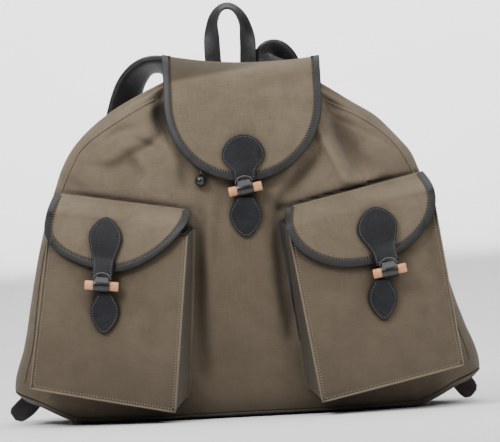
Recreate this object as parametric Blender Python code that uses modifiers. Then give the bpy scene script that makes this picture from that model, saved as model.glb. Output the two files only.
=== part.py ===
# Hunting rucksack in canvas and leather. Metres, +Z up, front towards -Y, standing on its base at z = 0.
# The tables are in millimetres and are turned into metres where they are read.

import math

import bmesh
import bpy
import numpy as np
from mathutils import Vector
from mathutils.bvhtree import BVHTree

MM = 0.001
CLOTH = 2.0 * MM  # canvas wall
LEATHER = 2.5 * MM  # tabs, straps
GAP = 0.4 * MM  # kept between pieces that touch
SQUARENESS = 2.4  # exponent of the sack's level sections
MOUTH_HEIGHT = 410.0
SEAM_AT = 0.93  # share of the half width where front and back meet the side walls
RUFFLES = 16  # gathers round the mouth
RUFFLE_DEPTH = 4.2
BASE_FLAT = 0.70  # share of the depth that lies flat on the ground
BINDING = 7.5  # width of the leather edge on the flaps
CORD = 4.0  # drawcord diameter
STOPPER = 13.0  # ball on the drawcord
PEG_LENGTH = 39.5
PEG_RADIUS = 5.5
LOOP_LENGTH = 19.5  # leather sleeve round a peg
TAB_LIFT = 1.05  # a tab lies this far above the flap, clear of the binding


def table(names, rows):
    """Named columns over rows; the first column is the key."""
    return dict(zip(names.split(), np.array(rows, float).T))


def read(rows, name, at):
    """A column at a key, on a smooth curve through its rows."""
    keys = next(iter(rows.values()))
    values = rows[name]
    slopes = np.gradient(values, keys)
    i = int(np.clip(np.searchsorted(keys, at) - 1, 0, len(keys) - 2))
    span = keys[i + 1] - keys[i]
    t = min(max((at - keys[i]) / span, 0.0), 1.0)
    start = (1 + 2 * t) * (1 - t) ** 2 * values[i] + t * (1 - t) ** 2 * span * slopes[i]
    end = t * t * (3 - 2 * t) * values[i + 1] + t * t * (t - 1) * span * slopes[i + 1]
    return float(start + end)


def eased(t):
    t = min(max(t, 0.0), 1.0)
    return t * t * (3 - 2 * t)


# Level sections of the sack: reach to each side, to the front and to the back.
SACK = table("height left right front back", (
    (0, 274, 273, 84, 78),
    (52, 276, 275, 94, 81),
    (91, 264, 262, 95, 82),
    (139, 254, 247, 94, 82),
    (186, 244, 237, 91, 80),
    (233, 232, 228, 85, 77),
    (280, 216, 215, 76, 71),
    (303, 207, 205, 70, 67),
    (326, 193, 186, 63, 61),
    (348, 171, 164, 56, 55),
    (368, 143, 133, 49, 49),
    (383, 113, 109, 43, 43),
    (395, 86, 88, 37, 38),
    (401, 73, 76, 34, 35),
    (406, 68, 72, 33, 34),
    (412, 70, 74, 34, 35),
))

# Bottom seam and underside, by distance from the middle.
RIM = table("across seam under", (
    (0, 5, 0),
    (150, 5, 0),
    (185, 6, 0),
    (200, 7, 1),
    (218, 13, 7),
    (246, 27, 21),
    (266, 35, 30),
    (276, 40, 38),
))

# Soft folds of the front: three points of each curve in the front view, half width and depth (a ridge is
# negative).
FOLDS = table("x0 z0 x1 z1 x2 z2 width depth", (
    (-45, 240, -57, 150, -51, 56, 9, 7.0),
    (-34, 248, -41, 205, -38, 150, 8, -4.5),
    (-20, 272, -25, 225, -34, 182, 8, 3.5),
    (46, 246, 43, 170, 53, 96, 9, 6.5),
    (80, 306, 64, 282, 45, 246, 11, 4.5),
    (103, 366, 112, 320, 136, 272, 13, 9.0),
    (92, 345, 100, 315, 122, 282, 10, -5.0),
    (131, 350, 146, 328, 164, 308, 13, -4.5),
    (-88, 364, -90, 355, -86, 345, 12, 8.0),
    (-80, 338, -112, 316, -155, 295, 9, 5.0),
    (-103, 374, -145, 356, -184, 322, 14, -5.0),
    (-82, 334, -76, 300, -62, 262, 9, -4.0),
    (-68, 296, -66, 282, -64, 268, 9, 5.0),
    (-128, 309, -122, 298, -114, 286, 8, 4.0),
))
FOLD_STEPS = 9


def fold_line(i):
    """Points along one fold, with how strong the fold is at each."""
    p = [Vector((FOLDS[f"x{k}"][i], FOLDS[f"z{k}"][i])) for k in range(3)]
    line = []
    for step in range(FOLD_STEPS + 1):
        t = step / FOLD_STEPS
        spot = (1 - t) ** 2 * p[0] + 2 * t * (1 - t) * p[1] + t * t * p[2]
        line.append((spot.x, spot.y, math.sin(math.pi * (0.12 + 0.76 * t)) ** 0.7))
    return np.array(line)


FOLD_LINES = [fold_line(i) for i in range(len(FOLDS["x0"]))]


def fold_depth(x, z):
    """How far the front cloth is pressed in at a point of the front view, in millimetres."""
    depth = 0.0
    for line, width, amount in zip(FOLD_LINES, FOLDS["width"], FOLDS["depth"]):
        away = (line[:, 0] - x) ** 2 + (line[:, 1] - z) ** 2
        depth += amount * float(np.max(line[:, 2] * np.exp(-away / (1.1 * width) ** 2)))
    return depth


def section_point(turn, height):
    """A point on a level section of the smooth sack: turn 0 is the right side, pi/2 the front."""
    c, s = math.cos(turn), math.sin(turn)
    side = math.copysign(abs(c) ** (2 / SQUARENESS), c)
    deep = math.copysign(abs(s) ** (2 / SQUARENESS), s)
    x = side * read(SACK, "right" if c > 0 else "left", height)
    y = -deep * read(SACK, "front" if s > 0 else "back", height)
    return Vector((x, y, height)) * MM


def sack_point(turn, height):
    """A point on the outside of the sack, with its gathers and folds."""
    spot = section_point(turn, height)
    c, s = math.cos(turn), math.sin(turn)
    gather = -RUFFLE_DEPTH * eased((height - 350) / 48) * math.cos(RUFFLES * turn) * MM
    spot.x += gather * c
    spot.y -= gather * s
    if s > 0:
        side = abs(c) ** (2 / SQUARENESS)
        spot.y += fold_depth(spot.x / MM, height) * eased((SEAM_AT - side) / 0.12) * MM
    return spot


def smooth_front(x, z):
    """Depth of the front at a point of the front view without its folds, in millimetres."""
    share = min(abs(x) / read(SACK, "left" if x < 0 else "right", z), 0.985)
    return -read(SACK, "front", z) * (1 - share ** SQUARENESS) ** (1 / SQUARENESS)


def seam_height(turn):
    """Height of the bottom seam at a turn round the sack."""
    side = abs(math.cos(turn)) ** (2 / SQUARENESS)
    return read(RIM, "seam", 275 * side)


# Scene and materials.
for old in list(bpy.data.objects):
    bpy.data.objects.remove(old, do_unlink=True)

RUCKSACK = bpy.data.collections.new("Hunting_Rucksack")
bpy.context.scene.collection.children.link(RUCKSACK)


def new_material(name, rgb, roughness, metallic=0.0):
    made = bpy.data.materials.new(name)
    made.use_nodes = True
    shader = made.node_tree.nodes["Principled BSDF"]
    shader.inputs["Base Color"].default_value = (*rgb, 1)
    shader.inputs["Roughness"].default_value = roughness
    shader.inputs["Metallic"].default_value = metallic
    made.diffuse_color = (*rgb, 1)
    return made


LOOKS = {
    "canvas": ((0.165, 0.130, 0.090), 0.9, 0.0),
    "leather": ((0.022, 0.022, 0.024), 0.45, 0.0),
    "wood": ((0.52, 0.30, 0.17), 0.5, 0.0),
    "cord": ((0.02, 0.02, 0.02), 0.8, 0.0),
    "plastic": ((0.015, 0.015, 0.015), 0.35, 0.0),
    "steel": ((0.10, 0.10, 0.10), 0.35, 1.0),
}


def add_object(name, data, look, location=(0, 0, 0)):
    made = bpy.data.objects.new(name, data)
    data.materials.append(new_material(name, *LOOKS[look]))
    made.location = location
    RUCKSACK.objects.link(made)
    return made


def mesh_from(bm, name):
    mesh = bpy.data.meshes.new(name)
    bmesh.ops.recalc_face_normals(bm, faces=bm.faces)
    bm.to_mesh(mesh)
    bm.free()
    mesh.shade_smooth()
    return mesh


def thicken(obj, thickness, outward_share=-1.0):
    """Solidify, inwards unless told otherwise."""
    made = obj.modifiers.new("thickness", "SOLIDIFY")
    made.thickness = thickness
    made.offset = outward_share
    made.use_even_offset = False
    return obj


def face_away_from(bm, centre):
    """Turns an open surface so that its normals point away from a point."""
    bmesh.ops.recalc_face_normals(bm, faces=bm.faces)
    total = sum((f.normal.dot(f.calc_center_median() - centre) * f.calc_area() for f in bm.faces), 0.0)
    if total < 0:
        bmesh.ops.reverse_faces(bm, faces=bm.faces)


def sheet(name, columns, rows, place, look, thickness, away_from):
    """An open grid whose points come from place(across, along), both 0 to 1, thickened inwards."""
    bm = bmesh.new()
    bmesh.ops.create_grid(bm, x_segments=columns, y_segments=rows, size=0.5)
    for v in bm.verts:
        v.co = place(v.co.x + 0.5, v.co.y + 0.5)
    bmesh.ops.remove_doubles(bm, verts=bm.verts, dist=1e-6)
    face_away_from(bm, Vector(away_from))
    mesh = bpy.data.meshes.new(name)
    bm.to_mesh(mesh)
    bm.free()
    mesh.shade_smooth()
    return thicken(add_object(name, mesh, look), thickness)


# The sack.
SACK_MIDDLE = (0, 0, 0.2)
FRONT_COLUMNS = 28
BACK_COLUMNS = 16
SIDE_COLUMNS = 5
WALL_ROWS = 16
DENSE_SPAN = 0.30  # the part of the front's half width that holds half of its columns
WALL_START = 3.3  # the walls stand this far above the bottom seam, on the base's edge
TOWARD_MOUTH = 1.45  # rows of the walls close up towards the gathered mouth
MOST_BARE = 0.45  # half of the gap between two walls at a seam


def turn_of(side):
    """The turn at which a level section reaches this share of its half width, on the front."""
    return math.acos(math.copysign(abs(side) ** (SQUARENESS / 2), side))


def front_turn(across):
    s = 2 * across - 1
    if abs(s) < 0.5:
        side = 2 * DENSE_SPAN * s
    else:
        side = math.copysign(DENSE_SPAN + (abs(s) - 0.5) / 0.5 * (SEAM_AT - DENSE_SPAN), s)
    return turn_of(side)


def wall_height(turn, along):
    bottom = seam_height(turn) + WALL_START
    return MOUTH_HEIGHT - (MOUTH_HEIGHT - bottom) * (1 - along) ** TOWARD_MOUTH


def seam_shift(turn, toward, height):
    """Moves a seam edge round the sack by half of the gap between walls."""
    a = sack_point(turn, height)
    b = sack_point(turn + toward * 0.02, height)
    return turn + toward * 0.02 * MOST_BARE * MM / max((b - a).length, 1e-6)


def wall(start, end, spread):
    """Returns place() for a wall between two turns, kept clear of its neighbours."""
    toward = 1 if end > start else -1

    def place(across, along):
        turn = spread(across)
        height = wall_height(turn, along)
        if across < 1e-5:
            turn = seam_shift(turn, toward, height)
        elif across > 1 - 1e-5:
            turn = seam_shift(turn, -toward, height)
        return sack_point(turn, height)

    return place


RIGHT_SEAM = turn_of(SEAM_AT)
LEFT_SEAM = math.pi - RIGHT_SEAM


def back_turn(across):
    return 2 * math.pi - turn_of((2 * across - 1) * SEAM_AT)


def right_turn(across):
    return RIGHT_SEAM * (2 * across - 1)


def left_turn(across):
    return math.pi + RIGHT_SEAM * (2 * across - 1)


sack_front = sheet("sack_front", FRONT_COLUMNS, WALL_ROWS,
                   wall(LEFT_SEAM, RIGHT_SEAM, front_turn), "canvas", CLOTH, SACK_MIDDLE)
sack_back = sheet("sack_back", BACK_COLUMNS, WALL_ROWS,
                  wall(math.pi, 2 * math.pi, back_turn), "canvas", CLOTH, SACK_MIDDLE)
sack_right = sheet("sack_side_right", SIDE_COLUMNS, WALL_ROWS,
                   wall(-1, 1, right_turn), "canvas", CLOTH, SACK_MIDDLE)
sack_left = sheet("sack_side_left", SIDE_COLUMNS, WALL_ROWS,
                  wall(2, 4, left_turn), "canvas", CLOTH, SACK_MIDDLE)


BASE_COLUMNS = 16
BASE_ROWS = 7
ROWS_TOWARD_EDGE = 1.35  # rows of the base close up towards the seam
FLAT_ENOUGH = 0.6  # an underside lower than this lies on the ground


def base_point(across, along):
    """The underside: flat in the middle, curving up to the bottom seam and to the side corners."""
    turn = math.pi * (1 - across)
    seam = seam_height(turn)
    front = sack_point(turn, seam)
    back = sack_point(2 * math.pi - turn, seam)
    t = 2 * along - 1
    share = 1 - (1 - abs(t)) ** ROWS_TOWARD_EDGE
    curl = max(0.0, (share - BASE_FLAT) / (1 - BASE_FLAT)) ** 2
    under = read(RIM, "under", abs(front.x) / MM)
    if under < FLAT_ENOUGH:
        under = 0.0
    low = under + (seam - under) * curl
    return Vector((front.x, share * (front.y if t < 0 else back.y), low * MM))


sack_base = sheet("sack_base", BASE_COLUMNS, BASE_ROWS, base_point, "canvas", CLOTH, SACK_MIDDLE)

bpy.context.view_layer.update()


def surface_of(*objects):
    """Search trees of finished pieces, for seating others on them."""
    graph = bpy.context.evaluated_depsgraph_get()
    graph.update()
    return [BVHTree.FromObject(obj, graph) for obj in objects]


def seat(trees, x, z, from_back=False):
    """Where a level line from the front (or the back) meets the pieces, in metres; None where it misses."""
    start = 1.0 if from_back else -1.0
    found = []
    for tree in trees:
        hit = tree.ray_cast(Vector((x, start, z)), Vector((0, -start, 0)))[0]
        if hit is not None:
            found.append(hit.y)
    if not found:
        return None
    return max(found) if from_back else min(found)


FRONT = surface_of(sack_front, sack_right, sack_left)
BACK = surface_of(sack_back, sack_right, sack_left)
ALL_ROUND = surface_of(sack_front, sack_back, sack_right, sack_left, sack_base)


# Bellows pockets.
# Corners of each pocket's front panel in the front view, and the way that it stands out from the sack.
POCKETS = {
    "left": {"corners": ((-223, 238), (-63, 216), (-254, 48), (-87, 13)), "out": (-0.34, -0.88, -0.33)},
    "right": {"corners": ((57, 219), (229, 241), (86, 16), (252, 49)), "out": (0.34, -0.88, -0.33)},
}
FOOT_MOST = 0.918  # the back edge stays inside this share of the sack's half width
POCKET_DEEP_BOTTOM = 46.0
POCKET_DEEP_TOP = 22.0
POCKET_FLATTEN = 7.0  # the front panel bulges this much less than the sack behind it
POCKET_CELLS = 8
POCKET_DEEP_CELLS = 2
POCKET_SEAT = 1.9  # the outer edge of the leaning bellows stands this far off the sack, its inner edge closer


def between(corners, a, b):
    """Bilinear between four corners: a runs left to right, b from bottom to top."""
    top = Vector(corners[0]) * (1 - a) + Vector(corners[1]) * a
    low = Vector(corners[2]) * (1 - a) + Vector(corners[3]) * a
    return low * (1 - b) + top * b


class Pocket:
    """One bellows pocket: points of its back edge on the sack and of its front panel."""

    def __init__(self, side):
        self.corners = POCKETS[side]["corners"]
        self.out = Vector(POCKETS[side]["out"])

    def depth(self, b):
        return (POCKET_DEEP_BOTTOM + (POCKET_DEEP_TOP - POCKET_DEEP_BOTTOM) * b ** 1.3) * MM

    def foot(self, a, b):
        """The back edge in the front view."""
        spot = between(self.corners, a, b) * MM
        deep = self.depth(b)
        x, z = spot.x - deep * self.out.x, spot.y - deep * self.out.z
        reach = FOOT_MOST * read(SACK, "left" if x < 0 else "right", z / MM) * MM
        return min(max(x, -reach), reach), z

    def front(self, a, b, lift=0.0):
        spot = between(self.corners, a, b) * MM
        x, z = self.foot(a, b)
        flatter = POCKET_FLATTEN * MM * math.sin(math.pi * min(max(a, 0), 1))
        y = smooth_front(x / MM, z / MM) * MM + self.depth(b) * self.out.y + flatter
        return Vector((spot.x, y - lift, spot.y))

    def back(self, a, b):
        x, z = self.foot(a, b)
        return Vector((x, seat(FRONT, x, z) - POCKET_SEAT * MM, z))

    def point(self, a, b, c):
        """c runs from the sack (0) to the front panel (1)."""
        if c > 0.999:
            return self.front(a, b)
        return self.back(a, b).lerp(self.front(a, b), c)


def open_box(cells_across, cells_up, cells_deep):
    """A gridded cube from 0 to 1 without its back and its top."""
    bm = bmesh.new()
    bmesh.ops.create_cube(bm, size=1)
    bmesh.ops.translate(bm, verts=bm.verts, vec=(0.5, 0.5, 0.5))
    for axis, cells in ((0, cells_across), (1, cells_deep), (2, cells_up)):
        for i in range(1, cells):
            spot = Vector((0, 0, 0))
            spot[axis] = i / cells
            normal = Vector((0, 0, 0))
            normal[axis] = 1
            geometry = list(bm.verts) + list(bm.edges) + list(bm.faces)
            bmesh.ops.bisect_plane(bm, geom=geometry, plane_co=spot, plane_no=normal)
    back = [f for f in bm.faces if all(v.co.y < 1e-6 for v in f.verts)]
    top = [f for f in bm.faces if all(v.co.z > 1 - 1e-6 for v in f.verts)]
    bmesh.ops.delete(bm, geom=back + top, context="FACES")
    return bm


def build_pocket(side):
    pocket = Pocket(side)
    bm = open_box(POCKET_CELLS, POCKET_CELLS, POCKET_DEEP_CELLS)
    for v in bm.verts:
        v.co = pocket.point(v.co.x, v.co.z, v.co.y)
    face_away_from(bm, pocket.point(0.5, 0.5, 0.4))
    mesh = bpy.data.meshes.new("pocket_" + side)
    bm.to_mesh(mesh)
    bm.free()
    mesh.shade_smooth()
    return pocket, thicken(add_object("pocket_" + side, mesh, "canvas"), CLOTH)


pocket_left, pocket_left_object = build_pocket("left")
pocket_right, pocket_right_object = build_pocket("right")


MOUTH_WIDTH = 3.6
MOUTH_THICK = 3.0
MOUTH_PROUD = 0.55  # the leather stands out this far from the cloth under it
MOUTH_RISE = 0.75  # and starts this far above the cloth's edge


def mouth_binding(side, pocket):
    """Leather strip along the pocket's mouth: up one bellows, across the front panel, down the other."""
    path = [(0, 0.06), (0, 0.5), (0, 1), (0.2, 1), (0.4, 1), (0.6, 1), (0.8, 1), (1, 1), (1, 0.5), (1, 0.06)]
    centre = pocket.point(0.5, 1.0, 0.4)

    def place(across, along):
        a, c = path[round(across * (len(path) - 1))]
        spot = pocket.point(a, 1.0, c)
        outward = Vector((spot.x - centre.x, spot.y - centre.y, 0)).normalized()
        return spot + outward * MOUTH_PROUD * MM + Vector((0, 0, (MOUTH_RISE + MOUTH_WIDTH * along) * MM))

    return sheet("pocket_mouth_" + side, len(path) - 1, 1, place, "leather", MOUTH_THICK * MM, centre)


mouth_binding("left", pocket_left)
mouth_binding("right", pocket_right)


# Flaps.
# Outline of each flap in its own plane: half widths, where each side starts to round, length.
LID_FRONT = 160.0  # from the fold over the mouth to the lid's tip
FLAPS = {
    "lid": {"top": (10.5, 420.0), "slope": 0.0, "left": 92.5, "right": 93.5,
            "left_round": 70, "right_round": 70, "length": LID_FRONT, "taper": 0.0,
            "left_full": 2.0, "right_full": 2.0},
    "left": {"top": (-135.5, 260.0), "slope": -9.8, "left": 89.0, "right": 80.5,
             "left_round": 38, "right_round": 4, "length": 82.0, "taper": 7.0,
             "left_full": 2.2, "right_full": 1.5},
    "right": {"top": (134.5, 259.5), "slope": 11.6, "left": 87.0, "right": 93.0,
              "left_round": 22, "right_round": 25, "length": 88.5, "taper": 7.0,
              "left_full": 2.0, "right_full": 2.0},
}
FLAP_CLEAR = 6.5  # from the pocket's front panel to the outside of its flap
SIDE_CELLS = 3  # rows down the straight sides
ROUND_CELLS = 7  # rows round each lower quarter
FLAP_COLUMNS = 8
BINDING_PROUD = 0.5 * MM
BINDING_THICK = 3.0 * MM
TAPER_FROM = 20  # a side that is straight for less than this has no taper
FLAP_BEND = 15.0  # down to here a pocket's flap leaves the sack
FLAP_DOME = 2.5
FLAP_MOST = 0.965  # its seam stays inside this share of the sack's half width
ON_CLOTH = CLOTH + GAP + 0.2 * MM  # the outside of cloth that lies on the sack


def flap_edge(shape, inset):
    """Points (across, down) along the flap's edge, from its upper left corner round to the upper right.

    Each lower quarter is an ellipse where its full value is 2; below 2 it is flatter, above 2 squarer.
    """
    points = []
    low = shape["length"] - inset
    for side in ("left", "right"):
        half = shape[side] - inset
        start = shape[side + "_round"]
        taper = shape["taper"] if start > TAPER_FROM else 0.0
        run = [(half - taper * (1 - i / SIDE_CELLS) ** 2, start * i / SIDE_CELLS) for i in range(SIDE_CELLS)]
        power = 2 / shape[side + "_full"]
        for i in range(ROUND_CELLS + 1):
            angle = math.pi / 2 * i / ROUND_CELLS
            across = max(math.cos(angle), 0.0) ** power
            run.append((half * across, start + (low - start) * math.sin(angle) ** power))
        sign = -1 if side == "left" else 1
        points.append([(sign * a, t) for a, t in run])
    return points[0] + points[1][-2::-1]


def front_view(shape, a, t):
    """From the flap's own plane to the front view, in millimetres."""
    slope = math.radians(shape["slope"])
    x = shape["top"][0] + a * math.cos(slope) + t * math.sin(slope)
    z = shape["top"][1] + a * math.sin(slope) - t * math.cos(slope)
    return x, z


class PocketFlap:
    """Cloth that is sewn above a pocket, bends over its mouth and lies on its front panel."""

    def __init__(self, side, pocket):
        self.shape = FLAPS[side]
        self.pocket = pocket

    def place(self, a, t, lift=0.0):
        x, z = front_view(self.shape, a, t)
        on_pocket = self.panel_y(x, z) - FLAP_CLEAR * MM
        x0, z0 = front_view(self.shape, a, 0)
        reach = read(SACK, "left" if x0 < 0 else "right", z0) * FLAP_MOST
        x0 = min(max(x0, -reach), reach)
        on_sack = seat(FRONT, x0 * MM, z0 * MM) - ON_CLOTH
        share = eased((t + 4) / (FLAP_BEND + 4)) if t > 0 else 0.0
        dome = FLAP_DOME * MM * math.sin(math.pi * min(max(t / self.shape["length"], 0), 1))
        y = on_sack * (1 - share) + on_pocket * share - dome * share
        y = min(y, smooth_front(x, z) * MM - ON_CLOTH)
        return Vector((x * MM, y - lift, z * MM))

    def panel_y(self, x, z):
        """Front of the pocket's panel at a point of the front view, also just past its edges."""
        corners = self.pocket.corners
        a, b = 0.5, 0.5
        for _ in range(8):
            spot = between(corners, a, b)
            da = between(corners, a + 0.01, b) - spot
            db = between(corners, a, b + 0.01) - spot
            error = Vector((x, z)) - spot
            det = da.x * db.y - da.y * db.x
            a += 0.01 * (error.x * db.y - error.y * db.x) / det
            b += 0.01 * (da.x * error.y - da.y * error.x) / det
        a = min(max(a, -0.06), 1.06)
        return self.pocket.front(a, min(b, 1.05)).y


# The lid's section from its tip up over the mouth to its seam on the back: depth and height by distance
# down from the fold (negative behind it).
LID = table("down deep height", (
    (-76, 53, 368),
    (-62, 54.5, 382),
    (-48, 54, 395),
    (-36, 49, 406),
    (-24, 38, 415),
    (-12, 20, 420),
    (0, 0, 421.5),
    (14, -22, 420),
    (28, -41, 413),
    (40, -53, 402),
    (60, -64, 382),
    (85, -74, 355),
    (110, -82, 328),
    (135, -87, 302),
    (160, -90, 277),
    (180, -91, 257),
))
LID_BACK = 74.0  # from the fold to the back seam
LID_BACK_CELLS = 5
LID_LEAVES = -58.0  # from here to its seam the lid comes down onto the back


class Lid:
    """The lid flap, over the gathered mouth."""

    def __init__(self):
        self.shape = FLAPS["lid"]

    def place(self, a, t, lift=0.0):
        share = a / 93.0
        x = 10.5 + a
        deep = read(LID, "deep", t)
        height = read(LID, "height", t)
        step = 1.0
        along = Vector((0, read(LID, "deep", t + step) - deep, read(LID, "height", t + step) - height))
        outward = Vector((0, along.z, -along.y)).normalized()
        if outward.dot(Vector((0, deep, height - 330))) < 0:
            outward = -outward
        top = eased(1 - abs(t - 5) / 45)
        crest = (3.5 * share * share - 3.0 * share + 3.0 * max(0, -share - 0.5)) * top * 1.6
        follow = 13.0 * share * share * (1 - top)
        deep += follow if t > 0 else -follow * 0.5
        if t < LID_LEAVES:
            held = eased((LID_LEAVES - t) / (LID_BACK + LID_LEAVES))
            sewn = seat(BACK, x * MM, height * MM, True)
            deep = deep * (1 - held) + (sewn / MM + CLOTH / MM + 1.3) * held
        spot = Vector((x, deep, height + crest)) * MM
        valley = math.exp(-((t - 62 + 16 * share) / 9) ** 2) * eased((share + 0.35) / 0.5)
        return spot + outward * (lift - 2.2 * MM * valley)


def inside_of(flap):
    """A point well under a flap."""
    return flap.place(0, flap.shape["length"] * 0.6, -0.1)


def flap_sheet(name, flap, inset, top):
    """The cloth inside the binding: rows of a U-shaped edge, drawn in to the middle line."""
    edge = flap_edge(flap.shape, inset)
    half = (len(edge) - 1) // 2
    above = LID_BACK_CELLS if top < 0 else 0

    def place(across, along):
        i = round(along * (half + above)) - above
        left, right = edge[max(i, 0)], edge[len(edge) - 1 - max(i, 0)]
        a = left[0] + (right[0] - left[0]) * across
        t = left[1] + (right[1] - left[1]) * across
        if i < 0:
            t = top * -i / above
        return flap.place(a, t)

    return sheet(name, FLAP_COLUMNS, half + above, place, "canvas", CLOTH, inside_of(flap))


def binding_strip(name, flap):
    """Leather edge: a strip between the flap's outline and a line inside it."""
    outer = flap_edge(flap.shape, 0.0)
    inner = flap_edge(flap.shape, BINDING)
    count = len(outer)

    def place(across, along):
        i = round(across * (count - 1))
        a = outer[i][0] + (inner[i][0] - outer[i][0]) * along
        t = outer[i][1] + (inner[i][1] - outer[i][1]) * along
        return flap.place(a, t, BINDING_PROUD)

    return sheet(name, count - 1, 1, place, "leather", BINDING_THICK, inside_of(flap))


lid = Lid()
flap_left = PocketFlap("left", pocket_left)
flap_right = PocketFlap("right", pocket_right)

for side, flap in (("left", flap_left), ("right", flap_right)):
    flap_sheet("pocket_flap_" + side, flap, BINDING + 0.7, 0.0)
    binding_strip("flap_binding_" + side, flap)

flap_sheet("lid_flap", lid, BINDING + 0.4, -LID_BACK)
binding_strip("lid_binding", lid)


# Toggle closures.
# Half width of the lower tabs, by distance down from the peg.
LOWER_TAB = table("down half", (
    (0, 9.0),
    (7, 13.5),
    (14, 17.5),
    (21, 18.8),
    (29, 17.0),
    (36, 13.0),
    (42, 8.0),
    (46, 3.0),
))
LOWER_LENGTH = 46.0


def upper_half(down, bulb, neck, length):
    """Half width of an upper tab: a round bulb that runs into a parallel neck."""
    if down <= bulb:
        return math.sqrt(max(0.0, bulb ** 2 - (bulb - down) ** 2))
    return neck + (bulb - neck) * (1 - eased((down - bulb) / (0.72 * (length - bulb))))


# Each closure in the front view: top of the upper tab, peg centre, peg tilt, bulb and neck half widths.
CLOSURES = {
    "lid": {"top": (8.0, 331.0), "peg": (8.5, 267.5), "tilt": 9.0,
            "bulb": 25.0, "neck": 12.3, "lean": 0.5, "low": (8.2, 257.5), "hang": -1.8, "broad": 1.0},
    "left": {"top": (-155.5, 243.0), "peg": (-165.0, 163.5), "tilt": -6.5,
             "bulb": 20.5, "neck": 11.5, "lean": -6.9, "low": (-161.5, 153.9), "hang": -4.9, "broad": 0.88},
    "right": {"top": (155.5, 238.0), "peg": (172.0, 163.5), "tilt": 9.0,
              "bulb": 23.5, "neck": 13.0, "lean": 12.5, "low": (162.4, 153.2), "hang": 0.7, "broad": 0.88},
}


def tab(name, length, half, spot_of, depth_of, rows, across=4):
    """A leather tab: rows down its length, placed by the front view and a depth."""

    def place(u, v):
        down = length * (1 - math.cos(math.pi * v)) / 2
        reach = half(down) * (2 * u - 1)
        x, z = spot_of(reach, down)
        return Vector((x * MM, depth_of(x, z, down), z * MM))

    middle = place(0.5, 0.5)
    return sheet(name, across, rows, place, "leather", LEATHER, middle + Vector((0, 0.05, 0)))


def turned(name, profile, steps, look, location, rotation):
    """A profile of (radius, height) turned about the object's own Z."""
    mesh = bpy.data.meshes.new(name)
    bm = bmesh.new()
    points = [bm.verts.new((r * MM, 0, h * MM)) for r, h in profile]
    for a, b in zip(points, points[1:]):
        bm.edges.new((a, b))
    if profile[0][0] > 0:
        bm.edges.new((points[-1], points[0]))
    bm.to_mesh(mesh)
    bm.free()
    made = add_object(name, mesh, look, location)
    made.rotation_euler = rotation
    screw = made.modifiers.new("turn", "SCREW")
    screw.steps = screw.render_steps = steps
    screw.use_merge_vertices = True
    screw.merge_threshold = 1e-5
    screw.use_normal_calculate = profile[0][0] == 0
    screw.use_normal_flip = profile[0][0] > 0
    return made


PEG_PROFILE = (
    (0, PEG_LENGTH / 2),
    (4.4, PEG_LENGTH / 2 - 0.3),
    (5.3, PEG_LENGTH / 2 - 1.6),
    (PEG_RADIUS, 7.0),
    (PEG_RADIUS, -7.0),
    (5.3, -PEG_LENGTH / 2 + 1.6),
    (4.4, -PEG_LENGTH / 2 + 0.3),
    (0, -PEG_LENGTH / 2),
)
SLEEVE_IN = PEG_RADIUS + 0.35
SLEEVE_OUT = SLEEVE_IN + 2.0
SLEEVE_PROFILE = (
    (SLEEVE_OUT, -LOOP_LENGTH / 2),
    (SLEEVE_OUT, LOOP_LENGTH / 2),
    (SLEEVE_IN, LOOP_LENGTH / 2),
    (SLEEVE_IN, -LOOP_LENGTH / 2),
)


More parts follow.
